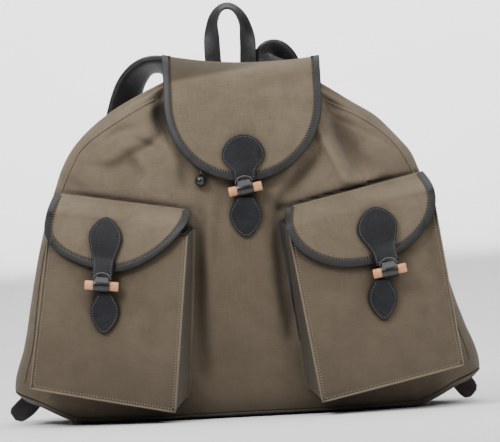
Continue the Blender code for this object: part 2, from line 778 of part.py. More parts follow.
def build_closure(side, flap, carrier):
    rows = CLOSURES[side]
    lean = math.radians(rows["lean"])
    top = Vector(rows["top"])
    peg = Vector(rows["peg"])
    axis_down = Vector((math.sin(lean), -math.cos(lean)))
    axis_across = Vector((math.cos(lean), math.sin(lean)))
    skew = abs(math.tan(math.radians(rows["tilt"] - rows["lean"])))
    upper_length = (peg - top).length - SLEEVE_OUT - 0.6 - rows["neck"] * skew

    def flap_local(x, z):
        """From the front view back to the flap's own plane, by a few corrections."""
        a, t = 0.0, 60.0
        for _ in range(12):
            now = flap.place(a, t) / MM
            da = (flap.place(a + 1, t) / MM) - now
            dt = (flap.place(a, t + 1) / MM) - now
            det = da.x * dt.z - da.z * dt.x
            ex, ez = x - now.x, z - now.z
            a += (ex * dt.z - ez * dt.x) / det
            t += (da.x * ez - da.z * ex) / det
        return a, t

    def upper_spot(reach, down):
        spot = top + axis_down * down + axis_across * reach
        return spot.x, spot.y

    def lying_depth(x, z):
        a, t = flap_local(x, z)
        return flap.place(a, t).y - (TAB_LIFT * MM + LEATHER)

    end = top + axis_down * upper_length
    peg_y = lying_depth(end.x, end.y) + LEATHER / 2
    for x in (-15, 0, 15):
        for z in (-10, 0, 10):
            behind = seat(carrier, (peg.x + x) * MM, (peg.y + z) * MM)
            peg_y = min(peg_y, behind - (SLEEVE_OUT + 0.8) * MM)
    pulled = peg_y - LEATHER / 2 - lying_depth(end.x, end.y)

    def upper_depth(x, z, down):
        return lying_depth(x, z) + pulled * eased(1 - (upper_length - down) / 28)

    def upper_width(down):
        return upper_half(down, rows["bulb"], rows["neck"], upper_length)

    tab("tab_upper_" + side, upper_length, upper_width, upper_spot, upper_depth, 10)

    tilt = math.radians(rows["tilt"])
    location = Vector((peg.x * MM, peg_y, peg.y * MM))
    turn = (0, math.pi / 2 - tilt, 0)
    turned("toggle_peg_" + side, PEG_PROFILE, 12, "wood", location, turn)
    turned("toggle_loop_" + side, SLEEVE_PROFILE, 12, "leather", location, turn)

    hang = math.radians(rows["hang"])
    start = Vector(rows["low"])
    hang_down = Vector((math.sin(hang), -math.cos(hang)))
    hang_across = Vector((math.cos(hang), math.sin(hang)))

    def lower_spot(reach, down):
        spot = start + hang_down * down + hang_across * reach
        return spot.x, spot.y

    def lower_depth(x, z, down):
        lying = seat(carrier, x * MM, z * MM) - LEATHER - GAP - 0.2 * MM
        raised = peg_y - LEATHER / 2
        share = eased(1 - down / 19)
        return min(lying, lying * (1 - share) + raised * share)

    def lower_width(down):
        return read(LOWER_TAB, "half", down) * rows["broad"]

    tab("tab_lower_" + side, LOWER_LENGTH, lower_width, lower_spot, lower_depth, 7)


bpy.context.view_layer.update()
LEFT_PANEL = surface_of(pocket_left_object)
RIGHT_PANEL = surface_of(pocket_right_object)
build_closure("lid", lid, FRONT)
build_closure("left", flap_left, LEFT_PANEL)
build_closure("right", flap_right, RIGHT_PANEL)


# Cords.
def smooth_route(points, count):
    """Points at equal steps along a smooth curve through the route."""
    points = [Vector(p) for p in points]
    padded = [2 * points[0] - points[1], *points, 2 * points[-1] - points[-2]]
    fine = []
    for i in range(len(points) - 1):
        p0, p1, p2, p3 = padded[i:i + 4]
        for step in range(24):
            t = step / 24
            fine.append(0.5 * (2 * p1 + (p2 - p0) * t + (2 * p0 - 5 * p1 + 4 * p2 - p3) * t * t
                               + (3 * p1 - p0 - 3 * p2 + p3) * t ** 3))
    fine.append(points[-1])
    lengths = np.cumsum([0] + [(b - a).length for a, b in zip(fine, fine[1:])])
    out = []
    for want in np.linspace(0, lengths[-1], count):
        i = min(int(np.searchsorted(lengths, want, side="right")) - 1, len(fine) - 2)
        step = (want - lengths[i]) / max(lengths[i + 1] - lengths[i], 1e-9)
        out.append(fine[i].lerp(fine[i + 1], step))
    return out


def tube(name, points, diameter, look, resolution, closed=False):
    curve = bpy.data.curves.new(name, "CURVE")
    curve.dimensions = "3D"
    spline = curve.splines.new("POLY")
    spline.points.add(len(points) - 1)
    for target, p in zip(spline.points, points):
        target.co = (*p, 1)
    spline.use_cyclic_u = closed
    curve.bevel_depth = diameter / 2 * MM
    curve.bevel_resolution = resolution
    curve.use_fill_caps = not closed
    return add_object(name, curve, look)


DRAWCORD_HEIGHT = 405.5
DRAWCORD_POINTS = 32


def drawcord_point(turn):
    """Round the outside of the gathered neck, clear of the tops of its ruffles."""
    ahead = section_point(turn + 0.01, DRAWCORD_HEIGHT)
    behind = section_point(turn - 0.01, DRAWCORD_HEIGHT)
    outward = Vector((ahead.y - behind.y, behind.x - ahead.x, 0)).normalized()
    spot = section_point(turn, DRAWCORD_HEIGHT)
    if outward.dot(Vector((spot.x, spot.y, 0))) < 0:
        outward = -outward
    return spot + outward * (RUFFLE_DEPTH + CORD / 2 + 0.9) * MM


drawcord_points = [drawcord_point(2 * math.pi * i / DRAWCORD_POINTS) for i in range(DRAWCORD_POINTS)]
tube("drawcord", drawcord_points, CORD, "cord", 2, closed=True)

STOPPER_SPOT = Vector((-43.5, 0, 279.0)) * MM
STOPPER_SPOT.y = seat(FRONT, STOPPER_SPOT.x, STOPPER_SPOT.z) - (STOPPER / 2 + 1.2) * MM
TAIL_START = Vector((-30.0, 0, DRAWCORD_HEIGHT - CORD - 0.3)) * MM
TAIL_START.y = min(p.y for p in drawcord_points if abs(p.x + 0.03) < 0.012)


def tail_route():
    """From the gathered mouth down under the lid to the ball."""
    end = STOPPER_SPOT + Vector((0.8, 0, STOPPER / 2 + 0.7)) * MM
    route = [TAIL_START]
    for share, x in ((0.3, -29.0), (0.6, -34.0), (0.85, -40.0)):
        z = TAIL_START.z + (end.z - TAIL_START.z) * share
        clear = CORD / 2 + 1.4 + 6 * (1 - share)
        route.append(Vector((x * MM, seat(FRONT, x * MM, z) - clear * MM, z)))
    route.append(end)
    return route


tube("drawcord_tail", smooth_route(tail_route(), 13), CORD, "cord", 2)

bm = bmesh.new()
bmesh.ops.create_uvsphere(bm, u_segments=12, v_segments=8, radius=STOPPER / 2 * MM)
add_object("cord_stopper", mesh_from(bm, "cord_stopper"), "plastic", STOPPER_SPOT)


# Straps.
RIBBON_COLUMNS = "key x y z width thick fx fy fz"


def ribbon_frame(rows, key):
    """Centre, direction, width direction, face direction and size of a strap at a place on its route."""
    keys = np.arange(len(rows), dtype=float)
    data = table(RIBBON_COLUMNS, [(k, *row) for k, row in zip(keys, rows)])
    centre = Vector([read(data, n, key) for n in "xyz"])
    ahead = Vector([read(data, n, min(key + 0.02, keys[-1])) for n in "xyz"])
    behind = Vector([read(data, n, max(key - 0.02, 0)) for n in "xyz"])
    along = (ahead - behind).normalized()
    face = Vector([read(data, n, key) for n in ("fx", "fy", "fz")])
    across = along.cross(face).normalized()
    return centre, along, across, across.cross(along), read(data, "width", key), read(data, "thick", key)


def ribbon(name, rows, look, section, steps):
    """A strap swept along a route. Each row: x, y, z, width, thickness and the way that its face looks.
    section lists (across, through) from -0.5 to 0.5."""
    bm = bmesh.new()
    rings = []
    for step in range(steps + 1):
        key = (len(rows) - 1) * step / steps
        centre, _, across, through, width, thick = ribbon_frame(rows, key)
        ring = [centre + across * (width * a) + through * (thick * b) for a, b in section]
        rings.append([bm.verts.new(spot * MM) for spot in ring])
    for first, second in zip(rings, rings[1:]):
        for i in range(len(section)):
            j = (i + 1) % len(section)
            bm.faces.new((first[i], first[j], second[j], second[i]))
    bm.faces.new(rings[0])
    bm.faces.new(rings[-1])
    return add_object(name, mesh_from(bm, name), look)


FLAT_SECTION = ((-0.5, -0.5), (0.5, -0.5), (0.5, 0.5), (-0.5, 0.5))
PAD_SECTION = ((-0.5, -0.12), (-0.38, -0.5), (0.38, -0.5), (0.5, -0.12),
               (0.5, 0.12), (0.38, 0.5), (-0.38, 0.5), (-0.5, 0.12))

LOOP_WIDTH = 19.5
LOOP_THICK = 3.4
back_low = seat(BACK, -0.0215, 0.340, True) / MM
CARRY_LOOP = (
    (-21.5, back_low + 2.6, 340, LOOP_WIDTH, LOOP_THICK, 0, -1, 0),
    (-21.5, 57, 372, LOOP_WIDTH, LOOP_THICK, 0, -1, 0),
    (-22, 59, 410, LOOP_WIDTH, LOOP_THICK, 0, -1, 0),
    (-22.5, 60, 444, LOOP_WIDTH, LOOP_THICK, -0.3, -1, 0),
    (-20.5, 61, 467, LOOP_WIDTH, LOOP_THICK, -1, -0.75, 0.25),
    (-13, 62, 481, LOOP_WIDTH, LOOP_THICK, -0.6, -0.4, 0.8),
    (-2, 62, 485.5, LOOP_WIDTH, LOOP_THICK, 0.1, -0.35, 1),
    (9, 62, 480, LOOP_WIDTH, LOOP_THICK, 0.7, -0.4, 0.7),
    (17.5, 61, 465, LOOP_WIDTH, LOOP_THICK, 1, -0.75, 0.2),
    (20.5, 60, 442, LOOP_WIDTH, LOOP_THICK, 0.3, -1, 0),
    (19.5, 59, 410, LOOP_WIDTH, LOOP_THICK, 0, -1, 0),
    (19.5, 57, 372, LOOP_WIDTH, LOOP_THICK, 0, -1, 0),
    (19.5, back_low + 2.6, 340, LOOP_WIDTH, LOOP_THICK, 0, -1, 0),
)
ribbon("carry_loop", CARRY_LOOP, "leather", FLAT_SECTION, 32)

# Padded straps: centre line, width, thickness and the way that the outer face looks.
PAD = 10.0
PAD_STEPS = 20
PAD_END = 5.0  # thickness where a pad is sewn on
PAD_TOP = 345.0  # height of that seam
PAD_CLEAR = {"left": 0.85, "right": 1.3}


def pad_seat(side, x):
    """Depth of a pad's sewn end on the back."""
    return seat(BACK, x * MM, PAD_TOP * MM, True) / MM + PAD_END / 2 + PAD_CLEAR[side]


PADS = {
    "left": (
        (-54, pad_seat("left", -54), PAD_TOP, 34, PAD_END, 0, 1, 0),
        (-55, 63, 372, 36, 8, 0, 1, 0),
        (-64, 68, 399, 38, PAD, 0, 1, 0.2),
        (-82, 73, 418, 36, PAD, 0, 0.6, 0.9),
        (-105, 78, 417, 36, PAD, -0.3, 0.6, 0.8),
        (-123, 86, 397, 38, PAD, -0.5, 0.9, 0.4),
        (-133, 92, 366, 40, PAD, -0.35, 1, 0.2),
        (-141, 98, 325, 42, PAD, -0.2, 1, 0.1),
        (-150, 103, 280, 44, PAD, -0.1, 1, 0),
        (-164, 104, 230, 42, PAD, 0, 1, 0),
        (-176, 102, 193, 34, 7, 0, 1, -0.1),
        (-181, 100.8, 179.5, 28, 3.6, 0, 1, -0.1),
    ),
    "right": (
        (50, pad_seat("right", 50), PAD_TOP, 34, PAD_END, 0, 1, 0),
        (48, 63, 374, 36, 8, 0, 1, 0),
        (46, 66, 402, 38, PAD, 0, 1, 0.1),
        (48, 72, 424, 38, PAD, 0, 1, 0.5),
        (58, 79, 420, 38, PAD, 0.1, 1, 0.5),
        (72, 87, 394, 38, PAD, 0.3, 1, 0.3),
        (91, 93, 362, 40, PAD, 0.3, 1, 0.2),
        (115, 98, 325, 42, PAD, 0.2, 1, 0.1),
        (136, 103, 280, 44, PAD, 0.1, 1, 0),
        (156, 104, 230, 42, PAD, 0, 1, 0),
        (170, 102, 193, 34, 7, 0, 1, -0.1),
        (175, 100.8, 179.5, 28, 3.6, 0, 1, -0.1),
    ),
}
for side, rows in PADS.items():
    ribbon("strap_pad_" + side, rows, "leather", PAD_SECTION, PAD_STEPS)

STRAP_WIDTH = 25.0
STRAP_THICK = 2.6
STRAP_STEPS = 20
STRAPS = {
    "left": (
        (-181.1, 100.7, 178.8, STRAP_WIDTH, STRAP_THICK, 0, 1, -0.1),
        (-196, 97, 141, STRAP_WIDTH, STRAP_THICK, -0.1, 1, 0),
        (-214, 91, 104, STRAP_WIDTH, STRAP_THICK, -0.15, 1, 0),
        (-234, 81, 70, STRAP_WIDTH, STRAP_THICK, -0.2, 1, 0),
        (-250, 69, 42, STRAP_WIDTH, STRAP_THICK, -0.2, 1, 0),
        (-262, 57, 23, STRAP_WIDTH, STRAP_THICK, -0.15, 1, 0),
        (-273, 50, 13.3, STRAP_WIDTH - 1, STRAP_THICK, -0.1, 1, 0),
        (-280, 47.5, 9.6, 20, STRAP_THICK, -0.1, 1, 0),
        (-284, 46, 7.2, 11, STRAP_THICK, -0.1, 1, 0),
    ),
    "right": (
        (175.1, 100.7, 178.8, STRAP_WIDTH, STRAP_THICK, 0, 1, -0.1),
        (190, 97, 141, STRAP_WIDTH, STRAP_THICK, 0.1, 1, 0),
        (208, 91, 104, STRAP_WIDTH, STRAP_THICK, 0.15, 1, 0),
        (228, 81, 70, STRAP_WIDTH, STRAP_THICK, 0.2, 1, 0),
        (244, 69, 42, STRAP_WIDTH, STRAP_THICK, 0.2, 1, 0),
        (255, 57, 23, STRAP_WIDTH, STRAP_THICK, 0.15, 1, 0),
        (262.5, 50, 12.7, STRAP_WIDTH - 1, STRAP_THICK, 0.1, 1, 0),
        (266.5, 47.5, 8.8, 20, STRAP_THICK, 0.1, 1, 0),
        (269, 46, 6.4, 11, STRAP_THICK, 0.1, 1, 0),
    ),
}
for side, rows in STRAPS.items():
    ribbon("strap_lower_" + side, rows, "leather", FLAT_SECTION, STRAP_STEPS)


BUCKLE_AT = 2.9  # place on the strap's route, in rows
KEEPER_AT = 3.44
CHAPE_CLEAR = 0.9  # between the strap and the chape under it
CHAPE_SEAT = {"left": 0.4, "right": 1.2}  # from the sack to the middle of the chape's end
WIRE = 3.4


def buckle(side):
    """A tilted frame: one bar passes under the strap and the other over it."""
    centre, along, across, outward = ribbon_frame(STRAPS[side], BUCKLE_AT)[:4]
    half_wide = STRAP_WIDTH / 2 + WIRE / 2 + 1.4
    half_long = 12.0
    rise = STRAP_THICK / 2 + WIRE / 2 + 1.0
    corners = []
    for a, b in ((-1, -1), (-1, 1), (1, 1), (1, -1)):
        corners.append(centre + across * (a * half_wide) + along * (b * half_long) - outward * (b * rise))
    points = []
    for i, corner in enumerate(corners):
        before, after = corners[i - 1], corners[(i + 1) % 4]
        points.append((corner + (before - corner).normalized() * 4) * MM)
        points.append((corner + (before - corner + after - corner).normalized() * 1.2) * MM)
        points.append((corner + (after - corner).normalized() * 4) * MM)
    return tube("strap_buckle_" + side, points, WIRE, "steel", 2, closed=True)


def keeper(side):
    """A leather loop round the strap and the chape under it."""
    centre, along, across, outward = ribbon_frame(STRAPS[side], KEEPER_AT)[:4]
    inner_wide = STRAP_WIDTH / 2 + 0.7
    low = -STRAP_THICK / 2 - STRAP_THICK - CHAPE_CLEAR - 0.9
    high = STRAP_THICK / 2 + 0.6
    long = 4.0
    thick = 1.8
    bm = bmesh.new()
    loops = []
    for wide, down, up in ((inner_wide, low, high), (inner_wide + thick, low - thick, high + thick)):
        for b in (-long, long):
            ring = []
            for a, o in ((-wide, down), (wide, down), (wide, up), (-wide, up)):
                ring.append(bm.verts.new((centre + across * a + outward * o + along * b) * MM))
            loops.append(ring)
    inner_a, inner_b, outer_a, outer_b = loops
    for i in range(4):
        j = (i + 1) % 4
        bm.faces.new((inner_a[i], inner_b[i], inner_b[j], inner_a[j]))
        bm.faces.new((outer_a[i], outer_a[j], outer_b[j], outer_b[i]))
        bm.faces.new((inner_a[i], inner_a[j], outer_a[j], outer_a[i]))
        bm.faces.new((inner_b[i], outer_b[i], outer_b[j], inner_b[j]))
    return add_object("strap_keeper_" + side, mesh_from(bm, "strap_keeper_" + side), "leather")


def chape(side):
    """The short strap under the lower strap, from the buckle's bar down to the corner of the sack."""
    rows = []
    for key in (BUCKLE_AT + 0.43, 3.65, 3.95):
        centre, _, _, outward = ribbon_frame(STRAPS[side], key)[:4]
        rows.append((*(centre - outward * (STRAP_THICK + CHAPE_CLEAR)), STRAP_WIDTH, STRAP_THICK, *outward))
    last = Vector(rows[-1][:3]) * MM
    found = min((tree.find_nearest(last)[:2] for tree in ALL_ROUND), key=lambda hit: (hit[0] - last).length)
    sewn = (found[0] + (last - found[0]).normalized() * CHAPE_SEAT[side] * MM) / MM
    outward = Vector(rows[-1][5:])
    for share in (0.55, 1.0):
        rows.append((*Vector(rows[2][:3]).lerp(sewn, share), STRAP_WIDTH, STRAP_THICK, *outward))
    return ribbon("strap_chape_" + side, rows, "leather", FLAT_SECTION, 10)


for side in ("left", "right"):
    buckle(side)
    keeper(side)
    chape(side)
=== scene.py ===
import math

import bpy
import numpy as np
from mathutils import Matrix, Vector, noise
from mathutils.bvhtree import BVHTree


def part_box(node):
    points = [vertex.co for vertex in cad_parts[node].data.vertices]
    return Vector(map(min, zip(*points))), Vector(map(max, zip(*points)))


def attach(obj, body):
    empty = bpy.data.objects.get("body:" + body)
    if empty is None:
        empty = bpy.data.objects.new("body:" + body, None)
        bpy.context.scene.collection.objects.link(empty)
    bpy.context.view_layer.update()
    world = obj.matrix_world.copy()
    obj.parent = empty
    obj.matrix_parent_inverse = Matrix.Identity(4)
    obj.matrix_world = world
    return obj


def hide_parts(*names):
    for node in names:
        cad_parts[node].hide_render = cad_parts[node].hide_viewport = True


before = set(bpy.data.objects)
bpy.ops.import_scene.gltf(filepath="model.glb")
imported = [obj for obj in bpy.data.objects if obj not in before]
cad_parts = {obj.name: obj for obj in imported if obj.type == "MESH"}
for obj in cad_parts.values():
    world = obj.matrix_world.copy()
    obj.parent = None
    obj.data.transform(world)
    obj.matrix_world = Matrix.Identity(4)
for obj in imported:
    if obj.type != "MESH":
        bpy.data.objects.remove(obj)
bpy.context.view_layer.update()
mm = 0.001

# camera: the photo's angle, a long lens, and the picture turned 3 degrees
photoView = {"middle": (0.012, 0.0, 0.2275), "distance": 6.0, "elevation": 1.3, "turned": -3.0,
             "frameWidth": 0.590, "frontAt": 0.045, "sensor": 36}

print("camera")
bpy.ops.object.camera_add()
camera = bpy.context.object
camera.name = "photoCamera"
tilt = math.radians(photoView["elevation"])
towardCamera = Vector((0, -math.cos(tilt), math.sin(tilt)))
looking = (-towardCamera).to_track_quat("-Z", "Y").to_matrix().to_4x4()
rolled = Matrix.Rotation(math.radians(photoView["turned"]), 4, "Z")
camera.matrix_world = (Matrix.Translation(Vector(photoView["middle"]) + towardCamera * photoView["distance"])
                       @ looking @ rolled)
camera.data.sensor_width = photoView["sensor"]
camera.data.lens = (photoView["sensor"] * (photoView["distance"] - photoView["frontAt"])
                    / photoView["frameWidth"])
camera.data.clip_start = 0.05
camera.data.clip_end = 60
bpy.context.scene.camera = camera


# selecting, shaping and finishing, used by every piece

def deselectAll():
    if bpy.context.object and bpy.context.object.mode != "OBJECT":
        bpy.ops.object.mode_set(mode="OBJECT")
    bpy.ops.object.select_all(action="DESELECT")


def pick(piece):
    deselectAll()
    piece.select_set(True)
    bpy.context.view_layer.objects.active = piece


def editAll(piece):
    pick(piece)
    bpy.ops.object.mode_set(mode="EDIT")
    bpy.ops.mesh.select_all(action="SELECT")


def leaveEdit():
    bpy.ops.object.mode_set(mode="OBJECT")


def insetFaces(piece, wanted, thickness, move):  # insets the faces that wanted() names and moves them, in mm
    editAll(piece)
    bpy.ops.mesh.select_mode(type="FACE")
    bpy.ops.mesh.select_all(action="DESELECT")
    leaveEdit()
    for face in piece.data.polygons:
        face.select = bool(wanted(face))
    bpy.ops.object.mode_set(mode="EDIT")
    bpy.ops.mesh.inset(thickness=thickness * mm)
    bpy.ops.transform.translate(value=tuple(Vector(move) * mm))
    leaveEdit()


def named(name):  # names the piece just added and puts its place into its mesh
    piece = bpy.context.object
    piece.name = name
    bpy.ops.object.transform_apply(location=True, rotation=True, scale=True)
    return piece


def eased(t):
    t = np.clip(t, 0.0, 1.0)
    return t * t * (3 - 2 * t)


def columns(names, rows):
    return dict(zip(names.split(), np.array(rows, float).T))


def smoothAt(rows, name, at):  # a smooth curve through the rows of one column
    keys = next(iter(rows.values()))
    values = rows[name]
    slopes = np.gradient(values, keys)
    i = np.clip(np.searchsorted(keys, at) - 1, 0, len(keys) - 2)
    span = keys[i + 1] - keys[i]
    t = np.clip((at - keys[i]) / span, 0, 1)
    start = (1 + 2 * t) * (1 - t) ** 2 * values[i] + t * (1 - t) ** 2 * span * slopes[i]
    return start + t * t * (3 - 2 * t) * values[i + 1] + t * t * (t - 1) * span * slopes[i + 1]


def vertexArray(piece):
    flat = np.empty(len(piece.data.vertices) * 3)
    piece.data.vertices.foreach_get("co", flat)
    return flat.reshape(-1, 3)


def setVertices(piece, spots):
    piece.data.vertices.foreach_set("co", np.ascontiguousarray(spots, float).ravel())
    piece.data.update()


def applyAll(piece):
    pick(piece)
    for modifier in list(piece.modifiers):
        bpy.ops.object.modifier_apply(modifier=modifier.name)


def mergeDoubles(piece, near=1e-5):
    editAll(piece)
    bpy.ops.mesh.remove_doubles(threshold=near)
    leaveEdit()


def clothGrid(name, across, along, place):
    # a flat grid whose points go where place(u, v) says; its UV map has the cloth's real size
    deselectAll()
    bpy.ops.mesh.primitive_grid_add(x_subdivisions=across, y_subdivisions=along, size=1)
    piece = bpy.context.object
    piece.name = name
    flat = vertexArray(piece)
    u, v = flat[:, 0] + 0.5, flat[:, 1] + 0.5
    spots = place(u, v)
    setVertices(piece, spots)
    grid = spots[np.lexsort((np.round(u, 5), np.round(v, 5)))].reshape(along + 1, across + 1, 3)
    width = np.linalg.norm(np.diff(grid, axis=1), axis=2).sum(1).mean()
    height = np.linalg.norm(np.diff(grid, axis=0), axis=2).sum(0).mean()
    uv = piece.data.uv_layers.active.data
    mapped = np.empty(len(uv) * 2)
    uv.foreach_get("uv", mapped)
    uv.foreach_set("uv", (mapped.reshape(-1, 2) * (width, height)).ravel())
    return piece


def each(point):  # turns a function of one point into one of arrays
    return lambda u, v: np.array([tuple(point(a, b)) for a, b in zip(u.tolist(), v.tolist())])


def faceAwayFrom(piece, middle):
    total = sum(face.area * face.normal.dot(face.center - Vector(middle)) for face in piece.data.polygons)
    if total < 0:
        editAll(piece)
        bpy.ops.mesh.flip_normals()
        leaveEdit()


def roundEdges(piece, width, segments=2):
    soft = piece.modifiers.new("rounded", "BEVEL")
    soft.width = width
    soft.segments = segments
    soft.limit_method = "ANGLE"
    soft.angle_limit = math.radians(60)


def giveThickness(piece, thickness, rounded=0.0):  # the wall grows inwards from the shaped surface
    wall = piece.modifiers.new("wall", "SOLIDIFY")
    wall.thickness = thickness
    wall.offset = -1.0
    if rounded:
        roundEdges(piece, rounded)
    applyAll(piece)


def smoothShade(piece, angle=45):
    pick(piece)
    bpy.ops.object.shade_smooth_by_angle(angle=math.radians(angle))


def dress(piece, material, slot, *replaced):
    piece.data.materials.clear()
    piece.data.materials.append(material)
    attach(piece, "root")
    if replaced:
        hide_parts(*replaced)
    return piece


def markPaintedShading(piece, amounts):  # the attribute that paints shade into the canvas where it is above 0 and a highlight where it is below
    piece.data.attributes.new("wearAndPaintedShading", "FLOAT", "POINT").data.foreach_set("value", amounts)


def closeEnds(piece):
    editAll(piece)
    bpy.ops.mesh.select_mode(type="EDGE")
    bpy.ops.mesh.select_all(action="DESELECT")
    bpy.ops.mesh.select_non_manifold(extend=False, use_wire=False, use_boundary=True, use_multi_face=False,
                                     use_non_contiguous=False, use_verts=False)
    bpy.ops.mesh.fill_holes(sides=0)
    bpy.ops.mesh.select_mode(type="VERT")
    leaveEdit()


def faceOutwards(piece):
    editAll(piece)
    bpy.ops.mesh.normals_make_consistent(inside=False)
    leaveEdit()


def sweep(name, stations, section, closed=False):
    # carries a closed section along stations of (spot, across, outward[, scale])
    count, around = len(stations), len(section)
    middle = np.array([s[0] for s in stations], float)
    across = np.array([s[1] for s in stations], float)
    outward = np.array([s[2] for s in stations], float)
    scale = np.array([s[3] if len(s) > 3 else (1.0, 1.0) for s in stations], float)
    ring = np.array(section, float)
    cells = count if closed else count - 1

    def place(u, v):
        i = np.rint(u * cells).astype(int) % count
        j = np.rint(v * around).astype(int) % around
        return (middle[i] + across[i] * (ring[j, 0] * scale[i, 0])[:, None]
                + outward[i] * (ring[j, 1] * scale[i, 1])[:, None])

    piece = clothGrid(name, cells, around, place)
    mergeDoubles(piece, 1e-6)
    if not closed:
        closeEnds(piece)
    faceOutwards(piece)
    return piece


def bar(name, stations, section, material, slot, *replaced, closed=False, angle=60):
    piece = sweep(name, stations, section, closed)
    smoothShade(piece, angle)
    return dress(piece, material, slot, *replaced)


def roundedSection(width, thick, radius, crown=0.0, flats=6, low=0.0):
    # a rounded bar, its face raised by crown in the middle, and standing low above the route
    radius = min(radius, thick / 2 - 1e-6)
    points = []
    for cx, cy, start in ((1, 1, 0), (-1, 1, 90), (-1, -1, 180), (1, -1, 270)):
        for k in range(4):
            angle = math.radians(start + 30 * k)
            points.append((cx * (width / 2 - radius) + radius * math.cos(angle),
                           cy * (thick / 2 - radius) + radius * math.sin(angle) + low))
        if cx == cy:
            run = width - 2 * radius
            for k in range(1, flats):
                bulge = crown * math.sin(math.pi * k / flats) if cy > 0 else 0.0
                points.append((cx * (width / 2 - radius - run * k / flats), cy * thick / 2 + bulge + low))
    return points


def roundSection(diameter, sides=12):
    turns = [2 * math.pi * k / sides for k in range(sides)]
    return [(diameter / 2 * math.cos(turn), diameter / 2 * math.sin(turn)) for turn in turns]


def routeFrames(points, outwards, closed=False, scales=None):
    points = [Vector(p) for p in points]
    count = len(points)
    stations = []
    for i, spot in enumerate(points):
        before = points[i - 1] if (i or closed) else points[0]
        after = points[(i + 1) % count] if (i < count - 1 or closed) else points[-1]
        along = (after - before).normalized()
        across = along.cross(Vector(outwards[i])).normalized()
        station = (spot, across, across.cross(along).normalized())
        stations.append(station + ((scales[i],) if scales else ()))
    return stations


def treesOf(*pieces):
    return [BVHTree.FromPolygons([v.co for v in piece.data.vertices],
                                 [list(p.vertices) for p in piece.data.polygons]) for piece in pieces]


def hitFrom(trees, x, z, fromBack=False):  # where a level line from the front or back first meets the pieces
    start = 1.0 if fromBack else -1.0
    best = None
    for tree in trees:
        where, normal = tree.ray_cast(Vector((x, start, z)), Vector((0, -start, 0)))[:2]
        if where is not None and (best is None or (where.y - best[0].y) * start > 0):
            best = (where, normal if normal.y * start > 0 else -normal)
    return best


def seat(trees, x, z, fromBack=False):
    return hitFrom(trees, x, z, fromBack)[0].y


def lineAt(at, runs, points):
    return np.stack([np.interp(at, runs, points[:, k]) for k in range(3)], 1)


def evenly(points, step):  # points at equal steps along a line, with their directions
    points = np.array([tuple(p) for p in points], float)
    runs = np.concatenate([[0], np.cumsum(np.linalg.norm(np.diff(points, axis=0), axis=1))])
    count = max(int(runs[-1] / step), 1)
    at = (np.arange(count) + 0.5) * runs[-1] / count
    along = lineAt(at + step * 0.4, runs, points) - lineAt(at - step * 0.4, runs, points)
    return lineAt(at, runs, points), along / np.linalg.norm(along, axis=1)[:, None], at, runs


# sewing: one thread shape, modelled once, copied along every seam
bpy.ops.mesh.primitive_uv_sphere_add(segments=6, ring_count=4, radius=1)
oneStitch = bpy.context.object
stitchShape = vertexArray(oneStitch)
stitchShape[:, 2] = np.sign(stitchShape[:, 2]) * np.abs(stitchShape[:, 2]) ** 0.7
stitchFaces = [tuple(p.vertices) for p in oneStitch.data.polygons]
bpy.data.objects.remove(oneStitch)


plainStitch = {"pitch": 2.7, "length": 1.8, "thick": 0.95, "slant": 0.0, "sink": 0.1}


def sew(name, rows, material, slot):
    # each row has points and outwards, and may have its own pitch, length, thick and sink, in mm, and slant
    spots, faces = [], []
    for row in rows:
        look = {**plainStitch, **row}
        middle, along, at, runs = evenly(row["points"], look["pitch"] * mm)
        out = lineAt(at, runs, np.array([tuple(n) for n in row["outwards"]], float))
        out /= np.linalg.norm(out, axis=1)[:, None]
        across = np.cross(along, out)
        across /= np.linalg.norm(across, axis=1)[:, None]
        turn = math.radians(look["slant"])
        length = along * math.cos(turn) + across * math.sin(turn)
        width = across * math.cos(turn) - along * math.sin(turn)
        for m, l, w, o in zip(middle, length, width, out):
            first = len(spots) * len(stitchShape)
            spots.append(m - o * look["sink"] * mm
                         + stitchShape[:, 2:3] * l * look["length"] / 2 * mm
                         + stitchShape[:, 0:1] * w * look["thick"] / 2 * mm
                         + stitchShape[:, 1:2] * o * look["thick"] / 2 * mm)
            faces += [tuple(first + i for i in face) for face in stitchFaces]
    mesh = bpy.data.meshes.new(name)
    mesh.from_pydata(np.concatenate(spots).tolist(), [], faces)
    mesh.shade_smooth()
    piece = bpy.data.objects.new(name, mesh)
    bpy.context.scene.collection.objects.link(piece)
    faceOutwards(piece)
    return dress(piece, material, slot)


def seamOn(trees, line, fromBack=False):  # a seam row from a line in the front view, laid on the pieces
    hits = [hit for hit in (hitFrom(trees, x, z, fromBack) for x, z in line) if hit]
    return {"points": [hit[0] for hit in hits], "outwards": [hit[1] for hit in hits]}


# materials

